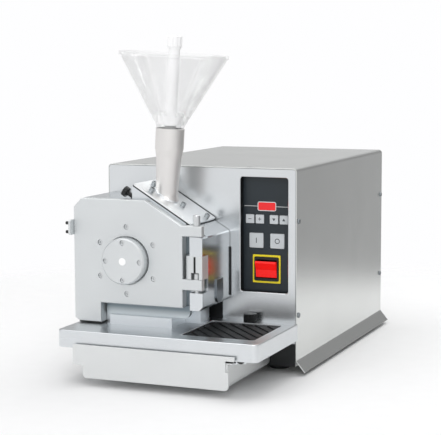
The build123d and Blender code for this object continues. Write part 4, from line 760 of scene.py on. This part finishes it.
class MILL_OT_deck(bpy.types.Operator):
    """Finishes the deck, its mat and knobs, and the drawer under it."""

    bl_idname = "mill.deck"
    bl_label = "Deck and drawer"

    def execute(self, context):
        sizes = context.scene.mill_sizes
        # Stainless sheet, ground across: the top mirrors the chamber softly.
        deck = metal(
            "ground stainless sheet, deck",
            ("#DEE1E3", "#D6DADD"),
            (0.27, 0.32),
            (50, 0.8, 0.8),
            0.0006,
        )
        finish_nodes(deck, ["deck", "deck_arms"])
        # Stainless sheet, bead blasted: the palest sheet on the machine.
        drawer = metal(
            "blasted stainless sheet", ("#E4E6E6", "#DCDEDE"), (0.46, 0.54), (0.8, 0.8, 0.8), 0.004
        )
        finish_nodes(drawer, ["drawer"])
        # Nitrile rubber, pressed with ribs: dark, with a dull light along each rib.
        mat = plastic("ribbed nitrile rubber", ("#15191C", "#101416"), (0.52, 0.64), 0.8, 0.01)
        finish_nodes(mat, ["deck_mat"])
        # Phenolic, moulded in a polished tool: black with a hard gloss.
        knob = plastic(
            "moulded phenolic, black", ("#0A0C0D", "#101315"), (0.22, 0.34), 0.9, 0.004
        )
        finish_nodes(knob, ["deck_knob", "thumb_knob"])
        soften(["deck"], sizes.edge, flat=True)
        soften(["drawer"], sizes.edge)
        self.recess_rim(sizes)
        return {"FINISHED"}

    @staticmethod
    def recess_rim(sizes):
        """The raised rim of the recess, left of the mat and behind it."""
        # Stainless, a raised rim paler than the deck sheet: a painted highlight that draws a
        # bright line round the dark mat.
        rim = metal(
            "paler recess rim, painted highlight", ("#F2F4F5", "#E8EAEB"), (0.30, 0.40), (0.8, 0.8, 0.8), 0.001
        )
        low, high = low_of("deck_mat"), high_of("deck_mat")
        gap, height = 0.6 * MM, 0.5 * MM
        left, back = low.x - gap, high.y + gap
        outline = [
            (left - sizes.rim, low.y, 0),
            (left, low.y, 0),
            (left, back, 0),
            (high.x, back, 0),
            (high.x, back + sizes.rim, 0),
            (left - sizes.rim, back + sizes.rim, 0),
        ]
        mesh = bmesh.new()
        slab(mesh, outline, (0, 0, high_of("deck").z), UPWARD, height)
        piece_from("recess_rim", mesh, rim, "cabinet")


class MILL_OT_drive(bpy.types.Operator):
    """Finishes the motor, shaft, coupling and bearings inside the cabinet."""

    bl_idname = "mill.drive"
    bl_label = "Drive"

    def execute(self, context):
        # Sprayed enamel: an even machine grey, half gloss.
        enamel = plastic("motor enamel, grey", ("#5C646A", "#525A60"), (0.40, 0.55), 1.0, 0.02)
        finish_nodes(enamel, ["motor_body", "motor_bracket"])
        # Cast iron, machined all over: dark and dull.
        cast = metal(
            "machined cast iron", ("#5A5C5E", "#4E5052"), (0.45, 0.6), (0.9, 0.9, 0.9), 0.02
        )
        finish_nodes(cast, ["bearing_housing"])
        # Steel, ground round: bright, with a line of light along the shaft.
        ground = metal(
            "ground steel shaft", ("#B4B7B9", "#A5A8AA"), (0.20, 0.30), (0.8, 20, 0.8), 0.002
        )
        finish_nodes(ground, ["main_shaft", "motor_shaft", "bearings"])
        # Aluminium, turned: pale, with a soft shine.
        alloy = metal(
            "turned aluminium", ("#CDD0D2", "#BFC2C4"), (0.28, 0.38), (0.8, 0.8, 0.8), 0.003
        )
        finish_nodes(alloy, ["coupling"])
        return {"FINISHED"}


class MILL_OT_stage(bpy.types.Operator):
    """Sets the floor, the soft light and the camera."""

    bl_idname = "mill.stage"
    bl_label = "Stage"

    def execute(self, context):
        self.floor()
        self.room(context.scene)
        for soft_box in SOFT_BOXES:
            self.lamp(*soft_box)
        self.camera(context.scene, context.scene.mill_studio)
        context.scene.view_settings.view_transform = "Standard"
        return {"FINISHED"}

    @staticmethod
    def floor():
        """A round board that fades out towards its edge."""
        mesh = bmesh.new()
        bmesh.ops.create_circle(mesh, cap_ends=True, segments=96, radius=FLOOR_RADIUS)
        data = bpy.data.meshes.new("floor")
        mesh.to_mesh(data)
        mesh.free()
        floor = bpy.data.objects.new("floor", data)
        bpy.context.scene.collection.objects.link(floor)
        # Matte laminate bench board: near white, with a soft contact shadow.
        board = plastic("matte laminate board", ("#F4F4F4", "#F1F1F1"), (0.60, 0.70), 1.5, 0.002)
        tree = board.node_tree
        place = add_node(tree, "ShaderNodeTexCoord", {}).outputs["Object"]
        away = add_node(tree, "ShaderNodeVectorMath", {0: place}, operation="LENGTH")
        limits = {"Value": away.outputs["Value"], **FLOOR_FADE}
        fade = add_node(tree, "ShaderNodeMapRange", limits, interpolation_type="SMOOTHSTEP")
        tree.links.new(fade.outputs["Result"], tree.nodes["Principled BSDF"].inputs["Alpha"])
        data.materials.append(board)

    @staticmethod
    def room(scene):
        """White paper all round; what the steel mirrors is dimmer to the right and overhead."""
        world = bpy.data.worlds.new("studio")
        world.use_nodes = True
        tree = world.node_tree
        toward = add_node(tree, "ShaderNodeTexCoord", {}).outputs["Generated"]
        parts = add_node(tree, "ShaderNodeSeparateXYZ", {"Vector": toward}).outputs
        fades = {}
        for axis, limits in ROOM_FADES.items():
            inputs = {"Value": parts[axis], **limits}
            fade = add_node(tree, "ShaderNodeMapRange", inputs, interpolation_type="SMOOTHSTEP")
            fades[axis] = fade.outputs["Result"]
        light = 1.0
        for axis in ("X", "Z"):
            # Each of the two takes its share away, times the share that counts from behind.
            shares = {0: fades[axis], 1: fades["Y"]}
            taken = add_node(tree, "ShaderNodeMath", shares, operation="MULTIPLY")
            whole = {0: 1.0, 1: taken.outputs["Value"]}
            left = add_node(tree, "ShaderNodeMath", whole, operation="SUBTRACT")
            both = {0: light, 1: left.outputs["Value"]}
            light = add_node(tree, "ShaderNodeMath", both, operation="MULTIPLY").outputs["Value"]
        paper = add_node(tree, "ShaderNodeLightPath", {}).outputs["Is Camera Ray"]
        for least in (ROOM_DIMMEST, paper):
            both = {0: light, 1: least}
            light = add_node(tree, "ShaderNodeMath", both, operation="MAXIMUM").outputs["Value"]
        background = tree.nodes["Background"]
        set_socket(background.inputs["Color"], "#FEFEFF")
        tree.links.new(light, background.inputs["Strength"])
        scene.world = world

    @staticmethod
    def lamp(name, place, target, side, power):
        """A square soft box that faces its target."""
        data = bpy.data.lights.new(name, "AREA")
        data.shape = "SQUARE"
        data.size = side
        data.energy = power
        lamp = bpy.data.objects.new(name, data)
        lamp.location = place
        aim = Vector(target) - Vector(place)
        lamp.rotation_euler = aim.to_track_quat("-Z", "Y").to_euler()
        bpy.context.scene.collection.objects.link(lamp)

    @staticmethod
    def camera(scene, studio):
        """The camera that took the photograph, found from the edges of the cabinet."""
        az, el, roll = studio.azimuth, studio.elevation, studio.roll
        back = Vector((math.sin(az) * math.cos(el), -math.cos(az) * math.cos(el), math.sin(el)))
        right = Vector((math.cos(az), math.sin(az), 0))
        up = right.cross(-back)
        tilted_right = right * math.cos(roll) + up * math.sin(roll)
        tilted_up = up * math.cos(roll) - right * math.sin(roll)
        data = bpy.data.cameras.new("photo camera")
        data.lens = studio.lens
        data.sensor_width = 36
        data.clip_end = 100
        camera = bpy.data.objects.new("photo camera", data)
        turn = Matrix((tilted_right, tilted_up, back)).transposed().to_4x4()
        camera.matrix_world = Matrix.Translation(Vector(studio.place)) @ turn
        scene.collection.objects.link(camera)
        scene.camera = camera


class MILL_PT_panel(bpy.types.Panel):
    """Lists the steps that finish the mill, and its settings."""

    bl_idname = "MILL_PT_panel"
    bl_label = "Cutting mill"
    bl_space_type = "VIEW_3D"
    bl_region_type = "UI"
    bl_category = "Cutting mill"

    def draw(self, context):
        for operator in OPERATORS:
            self.layout.operator(operator.bl_idname)
        for name in GROUPS:
            group = getattr(context.scene, name)
            box = self.layout.box()
            for setting in group.__annotations__:
                box.prop(group, setting)


OPERATORS = (
    MILL_OT_cabinet,
    MILL_OT_chamber,
    MILL_OT_door,
    MILL_OT_feed,
    MILL_OT_controls,
    MILL_OT_deck,
    MILL_OT_drive,
    MILL_OT_stage,
)
GROUPS = {"mill_sizes": MillSizes, "mill_colours": MillColours, "mill_studio": MillStudio}


def register():
    for kind in (*GROUPS.values(), *OPERATORS, MILL_PT_panel):
        bpy.utils.register_class(kind)
    for name, group in GROUPS.items():
        setattr(bpy.types.Scene, name, bpy.props.PointerProperty(type=group))


def unregister():
    for name in GROUPS:
        delattr(bpy.types.Scene, name)
    for kind in reversed((*GROUPS.values(), *OPERATORS, MILL_PT_panel)):
        bpy.utils.unregister_class(kind)


def main():
    register()
    bpy.ops.mill.cabinet()
    bpy.ops.mill.chamber()
    bpy.ops.mill.door()
    bpy.ops.mill.feed()
    bpy.ops.mill.controls()
    bpy.ops.mill.deck()
    bpy.ops.mill.drive()
    bpy.ops.mill.stage()


if __name__ == "__main__":
    main()
